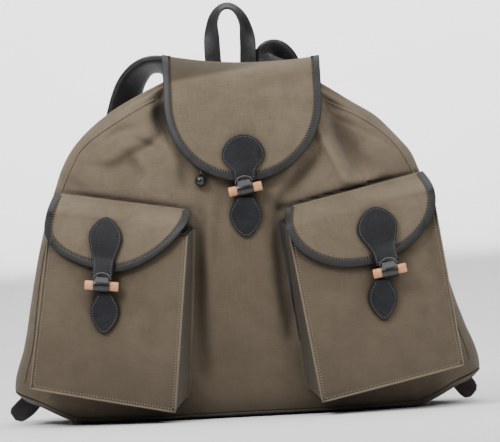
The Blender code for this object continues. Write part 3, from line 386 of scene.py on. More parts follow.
class Mixer:  # a material's node tree, built one node at a time
    def __init__(self, name):
        self.material = bpy.data.materials.new(name)
        self.material.use_nodes = True
        self.tree = self.material.node_tree
        self.shader = self.tree.nodes["Principled BSDF"]
        self.coordinates = self.tree.nodes.new("ShaderNodeTexCoord")

    def add(self, kind, settings=None, **values):
        node = self.tree.nodes.new("ShaderNode" + kind)
        for key, value in (settings or {}).items():
            setattr(node, key, value)
        for key, value in values.items():
            node.inputs[key].default_value = value
        return node

    def link(self, source, target):
        self.tree.links.new(source, target)

    def spots(self, scale, detail=4.0, rough=0.55, vector=None, twist=0.0):
        node = self.add("TexNoise", Scale=scale, Detail=detail, Roughness=rough, Distortion=twist)
        self.link(vector or self.coordinates.outputs["Object"], node.inputs["Vector"])
        return node.outputs["Fac"]

    def stretched(self, scale, output="Object"):
        node = self.add("Mapping", Scale=scale)
        self.link(self.coordinates.outputs[output], node.inputs["Vector"])
        return node.outputs["Vector"]

    def between(self, source, low, high):
        node = self.add("MapRange", {"interpolation_type": "SMOOTHSTEP"}, **{"From Min": low, "From Max": high})
        self.link(source, node.inputs["Value"])
        return node.outputs["Result"]

    def cloud(self, scale, detail, rough, low, high, twist=0.0, vector=None):  # noise, more contrast
        return self.between(self.spots(scale, detail, rough, vector, twist), low, high)

    def xyz(self, source=None):
        node = self.add("SeparateXYZ")
        self.link(source or self.coordinates.outputs["Object"], node.inputs["Vector"])
        return node.outputs

    def math(self, operation, a, b=None):
        node = self.add("Math", {"operation": operation})
        for i, value in enumerate((a, b)):
            if isinstance(value, (int, float)):
                node.inputs[i].default_value = value
            elif value is not None:
                self.link(value, node.inputs[i])
        return node.outputs["Value"]

    def blend(self, factor, a, b):
        node = self.add("Mix", {"data_type": "RGBA"})
        for socket, value in ((node.inputs[0], factor), (node.inputs[6], a), (node.inputs[7], b)):
            if isinstance(value, (int, float)):
                socket.default_value = value
            elif isinstance(value, tuple):
                socket.default_value = (*value, 1)
            else:
                self.link(value, socket)
        return node.outputs[2]

    def stain(self, colour, factor, amount, tint):  # lays a tint over the colour where the factor is high
        return self.blend(self.math("MULTIPLY", factor, amount), colour, tint)

    def varied(self, factor, amount, least):
        return self.math("ADD", self.math("MULTIPLY", factor, amount), least)

    def bump(self, height, distance, strength=1.0, under=None):
        node = self.add("Bump", Strength=strength, Distance=distance)
        self.link(height, node.inputs["Height"])
        if under:
            self.link(under, node.inputs["Normal"])
        return node.outputs["Normal"]

    def finish(self, colour, rough, normal, **fixed):
        for value, name in ((colour, "Base Color"), (rough, "Roughness"), (normal, "Normal")):
            if isinstance(value, (int, float)):
                self.shader.inputs[name].default_value = value
            else:
                self.link(value, self.shader.inputs[name])
        for name, value in fixed.items():
            self.shader.inputs[name.replace("_", " ")].default_value = value
        return self.material


def times(colour, share):
    return tuple(c * share for c in colour)


# the weave, and how strong the painted shade in nooks and folds and the painted ridge highlight are
clothLook = {"thread": 0.85, "weave": 0.35, "paintedNookReach": 0.035, "paintedNookShade": 0.85, "paintedNookTone": 0.18,
             "paintedFoldShade": 0.38, "paintedRidgeHighlight": 0.6, "paintedShadeTone": 0.5}


def canvasMaterial(name, body, shade, pale, paintedTopShade=False, paintedLowShade=0.0):
    mix = Mixer(name)
    cloudy = mix.cloud(42.0, 5.0, 0.62, 0.35, 0.72, 0.4)
    warpSlub, weftSlub = (mix.cloud(1.0, 3.0, 0.6, 0.42, 0.66, vector=mix.stretched(scale, "UV"))
                          for scale in ((900.0, 42.0, 1.0), (48.0, 900.0, 1.0)))
    colour = mix.blend(mix.cloud(8.0, 3.0, 0.5, 0.38, 0.66), body, pale)
    colour = mix.stain(colour, cloudy, 0.40, shade)
    colour = mix.stain(colour, warpSlub, 0.34, pale)
    colour = mix.stain(colour, weftSlub, 0.30, shade)
    colour = mix.stain(colour, mix.cloud(850.0, 2.0, 0.7, 0.35, 0.75), 0.25, shade)
    # a plain weave: warp over weft in one square, weft over warp in the next
    turns = math.pi / (clothLook["thread"] * mm)
    cells = mix.xyz(mix.stretched((turns, turns, 1.0), "UV"))
    sines = [mix.math("SINE", cells[axis]) for axis in "XY"]
    over = mix.math("GREATER_THAN", mix.math("MULTIPLY", *sines), 0.0)
    warp, weft = (mix.math("ABSOLUTE", sine) for sine in sines)
    weave = mix.math("ADD", mix.math("MULTIPLY", warp, over),
                     mix.math("MULTIPLY", weft, mix.math("SUBTRACT", 1.0, over)))
    colour = mix.stain(colour, mix.math("SUBTRACT", 1.0, weave), clothLook["weave"], shade)
    surface = mix.bump(weave, 0.00014, 0.7)
    surface = mix.bump(mix.spots(260.0, 4.0, 0.6), 0.0005, 0.35, surface)
    surface = mix.bump(mix.spots(60.0, 3.0, 0.5, twist=0.3), 0.0020, 0.28, surface)
    spot = mix.xyz()
    if paintedTopShade:  # painted shade where the lid turns over, deepest on the left
        bound = mix.math("SUBTRACT", spot["Z"], mix.math("MULTIPLY", spot["X"], 0.14))
        dark = mix.math("MULTIPLY", mix.between(bound, 0.404, 0.411), mix.between(spot["X"], 0.085, -0.02))
        colour = mix.stain(colour, dark, 0.8, times(shade, clothLook["paintedShadeTone"]))
    if paintedLowShade:  # painted shade, darker towards the foot
        uneven = mix.math("ADD", spot["Z"], mix.math("MULTIPLY", mix.spots(9.0, 3.0), 0.06))
        share = mix.math("ADD", mix.math("MULTIPLY", mix.between(uneven, 0.34, 0.22), 0.6),
                         mix.math("MULTIPLY", mix.between(uneven, 0.20, 0.05), 0.4))
        colour = mix.stain(colour, share, paintedLowShade, times(shade, clothLook["paintedShadeTone"]))
    # painted shade in the folds and painted highlight on the ridges, from the cloth's own attribute: dark where it
    # is above 0, pale where it is below
    paintedShading = mix.add("Attribute", {"attribute_name": "wearAndPaintedShading"}).outputs["Fac"]
    colour = mix.blend(mix.between(paintedShading, 0.0, 1.0), colour, times(shade, clothLook["paintedFoldShade"]))
    colour = mix.stain(colour, mix.between(paintedShading, 0.0, -0.5), clothLook["paintedRidgeHighlight"], pale)
    # painted shade in the folds, in nooks and under the edges
    paintedNookShade = mix.add("AmbientOcclusion", {"samples": 6}, Distance=clothLook["paintedNookReach"])
    paintedNookMask = mix.between(paintedNookShade.outputs["AO"], 0.92, 0.30)
    colour = mix.stain(colour, paintedNookMask, clothLook["paintedNookShade"], times(shade, clothLook["paintedNookTone"]))
    return mix.finish(colour, mix.varied(cloudy, 0.10, 0.80), surface,
                      Sheen_Weight=0.10, Sheen_Roughness=0.5, Specular_IOR_Level=0.22)


def leatherMaterial(name, body, wearAndPaintedShading, rough=0.42, grain=1100.0, lift=0.0003, coat=0.12, gloss=0.5):
    mix = Mixer(name)
    cloudy = mix.cloud(60.0, 5.0, 0.6, 0.38, 0.72, 0.5)
    colour = mix.stain(body, cloudy, 0.7, wearAndPaintedShading)
    colour = mix.stain(colour, mix.cloud(420.0, 3.0, 0.6, 0.40, 0.75), 0.25, wearAndPaintedShading)
    pebbles = mix.add("TexVoronoi", {"feature": "SMOOTH_F1"}, Scale=grain)
    creases = mix.add("TexVoronoi", {"feature": "DISTANCE_TO_EDGE"}, Scale=grain * 0.22)
    for cells in (pebbles, creases):
        mix.link(mix.coordinates.outputs["Object"], cells.inputs["Vector"])
    surface = mix.bump(pebbles.outputs["Distance"], lift, 0.55)
    surface = mix.bump(mix.between(creases.outputs["Distance"], 0.0, 0.10), lift, 0.28, surface)
    surface = mix.bump(mix.spots(80.0, 4.0, 0.5), 0.0010, 0.40, surface)
    return mix.finish(colour, mix.varied(cloudy, 0.15, rough), surface,
                      Specular_IOR_Level=gloss, Coat_Weight=coat, Coat_Roughness=0.35)


def threadMaterial(name, colour, twist=900.0):
    mix = Mixer(name)
    plies = mix.add("TexWave", {"bands_direction": "DIAGONAL"}, Scale=twist, Distortion=1.0)
    mix.link(mix.coordinates.outputs["Object"], plies.inputs["Vector"])
    return mix.finish(mix.stain(colour, mix.cloud(500.0, 2.0, 0.6, 0.35, 0.7), 0.5, times(colour, 0.6)), 0.7,
                      mix.bump(plies.outputs["Fac"], 0.0001, 0.6))


def woodMaterial(name, body, streak, pale):
    mix = Mixer(name)
    grain = mix.cloud(1.0, 5.0, 0.6, 0.38, 0.66, 0.3, mix.stretched((55.0, 1300.0, 1300.0)))
    colour = mix.stain(body, grain, 0.6, streak)
    colour = mix.stain(colour, mix.cloud(170.0, 3.0, 0.5, 0.36, 0.68), 0.4, pale)
    return mix.finish(colour, mix.varied(grain, 0.15, 0.38), mix.bump(grain, 0.0002, 0.5),
                      Coat_Weight=0.22, Coat_Roughness=0.25)


def wireMaterial(name, lacquer, rubbed):
    mix = Mixer(name)
    wearAndPaintedShading = mix.cloud(300.0, 4.0, 0.6, 0.56, 0.74)
    return mix.finish(mix.stain(lacquer, wearAndPaintedShading, 0.5, rubbed), mix.varied(wearAndPaintedShading, 0.2, 0.26),
                      mix.bump(mix.spots(900.0, 2.0), 0.0001, 0.4), Metallic=0.6)


print("materials")
colours = {"canvas": (0.160, 0.124, 0.084), "shade": (0.104, 0.080, 0.053), "pale": (0.205, 0.162, 0.113),
           "palest": (0.25, 0.205, 0.145)}
threeTones = (colours["canvas"], colours["shade"], colours["pale"])
# painted shade towards the foot on the sack's canvas and the welts' canvas, and a painted shade band across the
# lid's top
canvas = canvasMaterial("oliveCanvas", *threeTones, paintedLowShade=0.62)
flapCanvas = canvasMaterial("flapCanvas", *threeTones)
lidCanvas = canvasMaterial("lidCanvas", *threeTones, paintedTopShade=True)
paleCanvas = canvasMaterial("paleCanvas", colours["pale"], colours["canvas"], (0.24, 0.195, 0.14), paintedLowShade=0.3)
# leathers: colour, worn colour, roughness, grain, lift, coat, gloss
tabLeather = leatherMaterial("tabLeather", (0.009, 0.009, 0.011), (0.020, 0.021, 0.026), 0.56, 700.0, 0.0006,
                             0.02, 0.24)
sleeveLeather = leatherMaterial("sleeveLeather", (0.006, 0.006, 0.007), (0.013, 0.013, 0.015), 0.24, 900.0,
                                0.0002, 0.3)
strapLeather = leatherMaterial("strapLeather", (0.015, 0.015, 0.017), (0.032, 0.032, 0.036), 0.33, 900.0, coat=0.2)
edgeLeather = leatherMaterial("edgeLeather", (0.014, 0.014, 0.015), (0.026, 0.026, 0.030), 0.45, 1300.0, 0.0002,
                              0.05, 0.35)
tailLeather = leatherMaterial("tailLeather", (0.014, 0.013, 0.014), (0.028, 0.025, 0.026), 0.5)
brownLeather = leatherMaterial("brownLeather", (0.030, 0.017, 0.018), (0.050, 0.030, 0.031), 0.5)
# a pale leather that paints a highlight along the slit's rim
paintedRimHighlight = leatherMaterial("paintedRimHighlight", (0.085, 0.085, 0.078), (0.15, 0.145, 0.135), 0.7, 1500.0, 0.0002, 0.0)
ballPlastic = leatherMaterial("ballPlastic", (0.012, 0.012, 0.013), (0.018, 0.018, 0.019), 0.2, 700.0, 0.00005)
blackThread = threadMaterial("blackThread", (0.010, 0.010, 0.011))
greyThread = threadMaterial("greyThread", (0.13, 0.13, 0.135))
oliveThread = threadMaterial("oliveThread", colours["pale"])
khakiThread = threadMaterial("khakiThread", colours["palest"])
blackBraid = threadMaterial("blackBraid", (0.014, 0.014, 0.015), 500.0)
pegWood = woodMaterial("pegWood", (0.66, 0.30, 0.13), (0.42, 0.16, 0.06), (0.82, 0.48, 0.26))
pegEndWood = woodMaterial("pegEndWood", (0.50, 0.21, 0.09), (0.30, 0.11, 0.05), (0.60, 0.30, 0.15))
blackWire = wireMaterial("lacqueredWire", (0.018, 0.018, 0.019), (0.10, 0.10, 0.105))


# the free cord comes first; its route is in metres, the other sizes in mm
cordLook = {"diameter": 4.0, "swell": 0.04, "ball": 13.0, "ballAt": (-0.0435, -0.0831, 0.2790),
            "route": ((-0.03, -0.03791, 0.4012), (-0.029, -0.05728, 0.3667), (-0.034, -0.06643, 0.3322),
                      (-0.04, -0.07342, 0.30345), (-0.0427, -0.0831, 0.2862))}


def smoothRoute(points, count):
    points = [Vector(p) for p in points]
    padded = [2 * points[0] - points[1], *points, 2 * points[-1] - points[-2]]
    fine = []
    for i in range(len(points) - 1):
        a, b, c, d = padded[i:i + 4]
        for step in range(24):
            t = step / 24
            fine.append(0.5 * (2 * b + (c - a) * t + (2 * a - 5 * b + 4 * c - d) * t * t
                               + (3 * b - a - 3 * c + d) * t ** 3))
    fine.append(points[-1])
    runs = np.concatenate([[0], np.cumsum([(b - a).length for a, b in zip(fine, fine[1:])])])
    at = np.linspace(0, runs[-1], count)
    return [Vector(p) for p in lineAt(at, runs, np.array([tuple(q) for q in fine], float))]


def swells(count, step):  # the braid's size swells a little with each crossing strand
    return [(1 + cordLook["swell"] * math.cos(i * step),) * 2 for i in range(count)]


print("cord")
tailPoints = smoothRoute(cordLook["route"], 40)
tailFrames = routeFrames(tailPoints, [(0.03, -1, 0.06)] * 40, scales=swells(40, 2.1))
cordTail = bar("cordTail", tailFrames, roundSection(cordLook["diameter"] * mm), blackBraid, "cord",
               "drawcord_tail", angle=45)
bpy.ops.mesh.primitive_uv_sphere_add(segments=36, ring_count=24, radius=cordLook["ball"] / 2 * mm,
                                     location=cordLook["ballAt"])
ball = named("cordBall")
ballTop = cordLook["ballAt"][2] + cordLook["ball"] / 2 * mm
insetFaces(ball, lambda face: face.center.z > ballTop - 0.5 * mm, 0.4, (0, 0, -1.2))
smoothShade(ball, 40)
dress(ball, ballPlastic, "stopper_plastic", "cord_stopper")


# the sack's shape in millimetres: its half width and depth at each height, and its bottom rim
sack = columns("height left right front back", (
    (0, 274, 273, 84, 78), (52, 276, 275, 94, 81), (91, 264, 262, 95, 82), (139, 254, 247, 94, 82),
    (186, 244, 237, 91, 80), (233, 232, 228, 85, 77), (280, 216, 215, 76, 71), (303, 207, 205, 70, 67),
    (326, 193, 186, 63, 61), (348, 171, 164, 56, 55), (368, 143, 133, 49, 49), (383, 113, 109, 43, 43),
    (395, 86, 88, 37, 38), (401, 73, 76, 34, 35), (406, 68, 72, 33, 34), (412, 70, 74, 34, 35)))
rim = columns("across seam under", (
    (0, 5, 0), (150, 5, 0), (185, 6, 0), (200, 7, 1), (218, 13, 7), (246, 27, 21), (266, 35, 30), (276, 40, 38)))
sackLook = {"squareness": 2.4, "seamAt": 0.93, "mouthHeight": 410.0, "gathers": 16, "gatherDepth": 4.2,
            "columns": 330, "rows": 118, "wall": 2.0, "slack": 0.4}
# each fold: three points of its line, its width and depth, how far it leans to one side, and its shade
folds = columns("x0 z0 x1 z1 x2 z2 width depth lean shade", (
    (-45, 240, -57, 150, -51, 56, 10, 9.0, 0, 0.55), (-34, 248, -41, 205, -38, 150, 8, -4.5, 0, -0.1),
    (-20, 272, -25, 225, -34, 182, 8, 3.5, 0, 0.2), (46, 246, 43, 170, 53, 96, 9, 9.0, 0, 0.6),
    (91, 302, 70, 281, 49, 250, 10, 9.0, 0.3, 0.5), (113, 350, 126, 311, 142, 284, 13, 17.0, 0.4, 0.5),
    (97, 334, 110, 306, 128, 270, 6, -7.0, 0, -0.4), (122, 274, 140, 262, 166, 276, 6, -4.0, 0, -0.2),
    (136, 350, 150, 328, 166, 308, 13, -4.5, 0, -0.2),
    (-88, 372, -89, 358, -84, 342, 12, 17.0, 0.2, 1.1), (-84, 336, -112, 318, -150, 302, 9, 6.5, 0.35, 0.35),
    (-103, 374, -145, 356, -184, 322, 14, -5.0, 0, -0.1), (-82, 334, -76, 300, -62, 262, 9, -4.0, 0, -0.15),
    (-64, 300, -66, 284, -62, 270, 9, 5.0, 0, 0.55), (-124, 312, -118, 300, -110, 288, 7, 4.0, -0.3, 0.35),
    # narrow creases that only the cloth shows
    (-124, 333, -108, 331, -93, 322, 3.5, 2.4, 0, 0.3), (-152, 335, -136, 348, -116, 346, 6, 3.0, 0.3, 0.45),
    (-83, 334, -99, 316, -128, 309, 3.5, -2.6, 0, -0.25), (-128, 309, -155, 296, -186, 308, 4, 2.4, 0, 0.2),
    (-60, 238, -85, 263, -72, 300, 6, -1.5, 0, 0), (-236, 23, -215, 16, -190, 14, 4, 2.5, 0, 0.3),
    (57, 160, 56, 128, 51, 96, 4, 2.0, 0, 0.3), (34, 268, 30, 230, 33, 190, 7, 1.8, 0, 0.2),
    (104, 372, 112, 362, 124, 356, 5, 2.6, 0, 0.35), (146, 300, 152, 282, 176, 268, 8, 1.6, 0, 0),
    (46, 243, 132, 260.8, 222, 280, 3.0, 4.5, 0, 1.3), (-222, 277.5, -140, 262.5, -57, 248, 3.2, 3.0, 0, 0.8),
    (-206, 296, -190, 282, -170, 276, 9, 1.4, 0, 0.4), (-20, 60, 5, 44, 30, 50, 16, 1.6, 0, 0.1),
    (118, 346, 150, 330, 190, 306, 5, 3.0, 0.4, 0.3), (128, 362, 150, 357, 170, 338, 10, 2.5, 0, 0.35)))


def foldLine(i):  # points along a fold with its strength, which fades towards both ends
    t = np.linspace(0, 1, 14)[:, None]
    a, b, c = (np.array((folds[f"x{k}"][i], folds[f"z{k}"][i])) for k in range(3))
    spots = (1 - t) ** 2 * a + 2 * t * (1 - t) * b + t * t * c
    return np.hstack([spots, np.sin(math.pi * (0.12 + 0.76 * t)) ** 0.7])


foldLines = [foldLine(i) for i in range(len(folds["x0"]))]


def foldSum(x, z, what):
    depth = np.zeros_like(x)
    for line, width, lean, amount in zip(foldLines, folds["width"], folds["lean"], folds[what]):
        strength = np.zeros_like(x)
        for (x0, z0, s0), (x1, z1, s1) in zip(line, line[1:]):
            runX, runZ = x1 - x0, z1 - z0
            t = np.clip(((x - x0) * runX + (z - z0) * runZ) / (runX ** 2 + runZ ** 2), 0, 1)
            away = (x0 + runX * t - x) ** 2 + (z0 + runZ * t - z) ** 2
            aside = np.sign((x - x0) * runZ - (z - z0) * runX)
            reach = width * (1 - lean * aside)
            strength = np.maximum(strength, (s0 + (s1 - s0) * t) * np.exp(-away / reach ** 2))
        depth += amount * strength
    return depth


def ripple(x, z, scale, seed):
    return np.array([noise.noise(Vector((a / scale + seed, b / scale, seed * 0.7)))
                     for a, b in zip(x.tolist(), z.tolist())])


def sackOutline(turn, height):  # the plain outline, without gathers and folds
    power = 2 / sackLook["squareness"]
    c, s = np.cos(turn), np.sin(turn)
    side = np.sign(c) * np.abs(c) ** power
    deep = np.sign(s) * np.abs(s) ** power
    x = side * np.where(c > 0, smoothAt(sack, "right", height), smoothAt(sack, "left", height))
    y = -deep * np.where(s > 0, smoothAt(sack, "front", height), smoothAt(sack, "back", height))
    return x, y, side


def sackPoints(turn, height, slack=True):
    x, y, side = sackOutline(turn, height)
    front = np.sin(turn) > 0
    gather = -sackLook["gatherDepth"] * eased((height - 350) / 48) * np.cos(sackLook["gathers"] * turn)
    x = x + gather * np.cos(turn)
    y = y - gather * np.sin(turn)
    pressed = foldSum(x, height, "depth") * eased((sackLook["seamAt"] - np.abs(side)) / 0.12)
    y = y + np.where(front, pressed, 0)
    if slack:
        held = np.minimum(eased((height - 12) / 20), eased((400 - height) / 20))
        wave = ripple(x + y * 0.6, height, 46, 3.1) * 1.1 + ripple(x + y, height, 17, 8.3) * 0.45
        inward = np.minimum(wave * held, sackLook["slack"])
        x = x + inward * side * 0.8
        y = y - inward * np.sign(np.sin(turn)) * (1 - np.abs(side) ** 4)
    return np.stack([x, y, height], 1) * mm


def halfWidth(x, z):
    return smoothAt(sack, "left" if x < 0 else "right", z)


def smoothFront(x, z):
    share = min(abs(x) / halfWidth(x, z), 0.985)
    return -smoothAt(sack, "front", z) * (1 - share ** sackLook["squareness"]) ** (1 / sackLook["squareness"])


def seamHeight(turn):
    return smoothAt(rim, "seam", 275 * np.abs(np.cos(turn)) ** (2 / sackLook["squareness"]))


def sackPlace(u, v):
    turn = 2 * math.pi * u + 0.42 * (np.cos(2 * math.pi * u) - 1)  # denser in front, where the folds show
    height = sackLook["mouthHeight"] - (sackLook["mouthHeight"] - seamHeight(turn) - 2.2) * (1 - v) ** 1.2
    return sackPoints(turn, height)


print("sack")
sackBody = clothGrid("sackBody", sackLook["columns"], sackLook["rows"], sackPlace)
mergeDoubles(sackBody)
faceAwayFrom(sackBody, (0, 0, 0.2))
giveThickness(sackBody, sackLook["wall"] * mm)
smoothShade(sackBody, 60)
spots = vertexArray(sackBody) / mm
# painted shade along the folds of the sack's front and painted highlight on its ridges
markPaintedShading(sackBody, np.clip(foldSum(spots[:, 0], spots[:, 2], "shade"), -0.4, 1.2) * (spots[:, 1] < -8))
dress(sackBody, canvas, "canvas", "sack_front", "sack_back", "sack_side_left", "sack_side_right")
cloth = treesOf(sackBody)

baseLook = {"columns": 90, "rows": 36, "flat": 0.70}


def basePlace(u, v):
    turn = math.pi * (1 - u)
    seam = seamHeight(turn)
    front = sackPoints(turn, seam, False) / mm
    behind = sackPoints(2 * math.pi - turn, seam, False) / mm
    t = 2 * v - 1
    share = 1 - (1 - np.abs(t)) ** 1.35
    curl = np.clip((share - baseLook["flat"]) / (1 - baseLook["flat"]), 0, 1) ** 2
    under = smoothAt(rim, "under", np.abs(front[:, 0]))
    under = np.where(under < 0.6, 0.0, under)
    low = under + (seam - under) * curl
    return np.stack([front[:, 0], share * np.where(t < 0, front[:, 1], behind[:, 1]), low], 1) * mm


base = clothGrid("sackBase", baseLook["columns"], baseLook["rows"], basePlace)
mergeDoubles(base)
faceAwayFrom(base, (0, 0, 0.2))
giveThickness(base, 2.0 * mm)
smoothShade(base, 60)
dress(base, canvas, "canvas", "sack_base")

# side seams: a narrow turned edge with a row of stitches on each side of it
seamLook = {"width": 3.0, "thick": 1.3, "beside": 3.6, "shares": columns("height share", (
    (30, 0.955), (300, 0.945), (330, 0.925), (350, 0.86), (368, 0.79), (384, 0.73)))}


def sideSeam(name, sign, fromBack):
    line = []
    for z in np.linspace(52, 378, 110):
        share = smoothAt(seamLook["shares"], "share", z)
        line.append((sign * share * halfWidth(sign, z) * mm, z * mm))
    row = seamOn(cloth, line, fromBack)
    section = roundedSection(seamLook["width"] * mm, seamLook["thick"] * mm, 0.6 * mm, low=0.3 * mm)
    bar(name, routeFrames(row["points"], row["outwards"]), section, canvas, "canvas")
    return seamOn(cloth, [(x - sign * seamLook["beside"] * mm, z) for x, z in line], fromBack)


print("side seams")
sideRows = [sideSeam(f"sideSeam{place}{'Back' if behind else ''}", sign, behind)
            for place, sign in (("Left", -1), ("Right", 1)) for behind in (False, True)]
sew("sideSeamStitches", [{**row, "thick": 0.8} for row in sideRows], oliveThread, "canvas")


# bellows pockets
pocketLook = {
    "left": {"corners": ((-223, 238), (-63, 216), (-254, 48), (-87, 13)), "out": (-0.34, -0.88, -0.33),
             "gussetPaintedShade": 0.5,
             "dents": ((-150, 180, -160, 90, 22, 2.2), (-205, 120, -215, 60, 14, 1.6),
                       (-110, 90, -118, 40, 16, 1.8))},
    "right": {"corners": ((57, 219), (229, 241), (86, 16), (252, 49)), "out": (0.34, -0.88, -0.33),
              "gussetPaintedShade": 0.9,
              "dents": ((150, 130, 126, 60, 16, 3.0), (216, 110, 238, 62, 13, 2.6), (96, 150, 108, 70, 12, 1.8),
                        (190, 180, 186, 120, 16, 1.6))},
}
pocketSize = {"footMost": 0.918, "deepBottom": 46.0, "deepTop": 22.0, "flatten": 7.0, "seat": 1.9,
              "across": 56, "up": 64, "deep": 10}


def between(corners, a, b):
    top = Vector(corners[0]) * (1 - a) + Vector(corners[1]) * a
    low = Vector(corners[2]) * (1 - a) + Vector(corners[3]) * a
    return low * (1 - b) + top * b


def pocketDepth(b):
    low, top = pocketSize["deepBottom"], pocketSize["deepTop"]
    return (low + (top - low) * max(b, 0) ** 1.3) * mm


def pocketFoot(side, a, b):
    look = pocketLook[side]
    spot = between(look["corners"], a, b) * mm
    deep = pocketDepth(b)
    x, z = spot.x - deep * look["out"][0], spot.y - deep * look["out"][2]
    reach = pocketSize["footMost"] * halfWidth(x, z / mm) * mm
    return min(max(x, -reach), reach), z


def panelDent(side, x, z):
    depth = 0.0
    for x0, z0, x1, z1, width, amount in pocketLook[side]["dents"]:
        run = Vector((x1 - x0, z1 - z0))
        t = min(max((Vector((x - x0, z - z0)).dot(run)) / run.length_squared, 0), 1)
        away = (Vector((x0, z0)) + run * t - Vector((x, z))).length
        depth += amount * math.exp(-(away / width) ** 2)
    return depth


def pocketFront(side, a, b, dented=True):
    look = pocketLook[side]
    spot = between(look["corners"], a, b) * mm
    x, z = pocketFoot(side, a, b)
    flatter = pocketSize["flatten"] * mm * math.sin(math.pi * min(max(a, 0), 1))
    y = smoothFront(x / mm, z / mm) * mm + pocketDepth(b) * look["out"][1] + flatter
    if dented:
        inside = min(max(min(a, 1 - a) / 0.12, 0), 1) * min(max(b / 0.08, 0), 1)
        soft = noise.noise(Vector((spot.x / 0.05, spot.y / 0.05, 4.0 if side == "left" else 9.0))) * 0.9 + 0.5
        y += (panelDent(side, spot.x / mm, spot.y / mm) + soft) * float(eased(inside)) * mm
    return Vector((spot.x, y, spot.y))


def pocketBack(side, a, b):
    x, z = pocketFoot(side, a, b)
    return Vector((x, seat(cloth, x, z) - pocketSize["seat"] * mm, z))


def pocketPoint(side, a, b, c):  # c runs from the sack, 0, to the front panel, 1
    if c > 0.999:
        return pocketFront(side, a, b)
    spot = pocketBack(side, a, b).lerp(pocketFront(side, a, b), c)
    if c > 0 and a in (0, 1):  # the bellows folds in a little
        sink = math.sin(math.pi * c) * (1.0 + 2.5 * math.sin(math.pi * min(max(b, 0), 1))) * mm
        spot.x += sink if a == 0 else -sink
    return spot


def buildPocket(side):
    size = pocketSize
    wrap = size["deep"] * 2 + size["across"]

    def around(u, v):
        k = round(u * wrap)
        if k <= size["deep"]:
            return pocketPoint(side, 0, v, k / size["deep"])
        if k >= wrap - size["deep"]:
            return pocketPoint(side, 1, v, (wrap - k) / size["deep"])
        return pocketPoint(side, (k - size["deep"]) / size["across"], v, 1)

    wall = clothGrid("pocket" + side.capitalize(), wrap, size["up"], each(around))
    low = clothGrid("pocketFloor", size["across"], size["deep"],
                    each(lambda u, v: pocketPoint(side, u, 0, v)))
    middle = pocketPoint(side, 0.5, 0.5, 0.4)
    faceAwayFrom(wall, middle)
    faceAwayFrom(low, middle)
    pick(wall)
    low.select_set(True)
    bpy.ops.object.join()
    mergeDoubles(wall, 2e-5)
    giveThickness(wall, 2.0 * mm)
    smoothShade(wall, 50)
    # painted shade on the bellows' sides that face in towards the middle
    normals = np.empty(len(wall.data.vertices) * 3)
    wall.data.vertices.foreach_get("normal", normals)
    inward = normals.reshape(-1, 3)[:, 0] * (1 if side == "left" else -1)
    markPaintedShading(wall, eased((inward - 0.35) / 0.4) * pocketLook[side]["gussetPaintedShade"])
    return dress(wall, canvas, "canvas", "pocket_" + side)


def threeSides(steps):  # down the panel's left side, along its foot and up its right side, as shares
    return ([(0, 1 - i / steps) for i in range(steps)] + [(i / steps, 0) for i in range(steps)]
            + [(1, i / steps) for i in range(steps + 1)])


weltLook = {"thick": 1.9, "tall": 3.0, "inside": 2.6,
            "stitch": {"pitch": 3.2, "length": 2.6, "thick": 1.1, "slant": 75.0}}


def buildWelt(side):  # the pinched edge round the front panel, and its stitches
    path = threeSides(44)
    points, outwards = [], []
    for a, b in path:
        points.append(pocketFront(side, a, b, False))
        aside = Vector((-1.0 if a < 0.04 else 1.0 if a > 0.96 else 0.0, 0, -1.0 if b < 0.04 else 0.0))
        outwards.append((aside.normalized() * 0.75 + Vector((0, -0.8, 0))).normalized())
    section = roundedSection(weltLook["thick"] * mm, weltLook["tall"] * mm, 0.8 * mm, low=0.5 * mm)
    bar("pocketWelt" + side.capitalize(), routeFrames(points, outwards), section, paleCanvas, "canvas")
    corners = pocketLook[side]["corners"]
    wide = (Vector(corners[3]) - Vector(corners[2])).length
    high = (Vector(corners[0]) - Vector(corners[2])).length
    da, db = weltLook["inside"] / wide, weltLook["inside"] / high
    line = [between(corners, min(max(a, da), 1 - da), max(b, db)) * mm
            for a, b in path if b >= db or da < a < 1 - da]
    return {**seamOn(panels[side], line), **weltLook["stitch"]}


flangeLook = {"width": 5.0, "thick": 1.6, "outside": 1.2, "pitch": 2.7}


def buildFlange(side):  # the strip that sews the bellows to the sack
    points, outwards, sewn = [], [], []
    for a, b in threeSides(40):
        away = Vector(((-1 if a == 0 else 1 if a == 1 else 0), (-1 if b == 0 else 0)))
        at = Vector(pocketFoot(side, a, b)) + away.normalized() * flangeLook["outside"] * mm
        hit = hitFrom(cloth, at.x, at.y)
        points.append(hit[0] + hit[1] * 0.5 * mm)
        outwards.append(hit[1])
        sewn.append(hit[0] + hit[1] * 1.2 * mm)
    section = roundedSection(flangeLook["width"] * mm, flangeLook["thick"] * mm, 0.7 * mm, low=0.1 * mm)
    bar("pocketFlange" + side.capitalize(), routeFrames(points, outwards), section, canvas, "canvas")
    return {"points": sewn, "outwards": outwards, "pitch": flangeLook["pitch"]}


shadowStripLook = {"width": 5.5, "thick": 2.6, "narrower": 0.72, "thinner": 0.4, "down": 0.72}


def buildShadowStrip():  # a black strip inside the right pocket that stands for the shadow line between the bellows and the sack, narrower towards its foot
    points, outwards, scales = [], [], []
    for i in range(50):
        x, z = pocketFoot("right", 0, 1 - shadowStripLook["down"] * i / 49)
        hit = hitFrom(cloth, x - 0.5 * mm, z)
        points.append(hit[0] + hit[1] * 1.6 * mm)
        outwards.append(hit[1])
        scales.append((1.0 - shadowStripLook["narrower"] * i / 49, 1.0 - shadowStripLook["thinner"] * i / 49))
    section = roundedSection(shadowStripLook["width"] * mm, shadowStripLook["thick"] * mm, 1.1 * mm)
    bar("pocketShadowStrip", routeFrames(points, outwards, False, scales), section, edgeLeather, "binding_leather")


mouthLook = {"width": 3.6, "thick": 3.0, "rise": 0.75, "corner": 1.2, "overlap": 0.55}


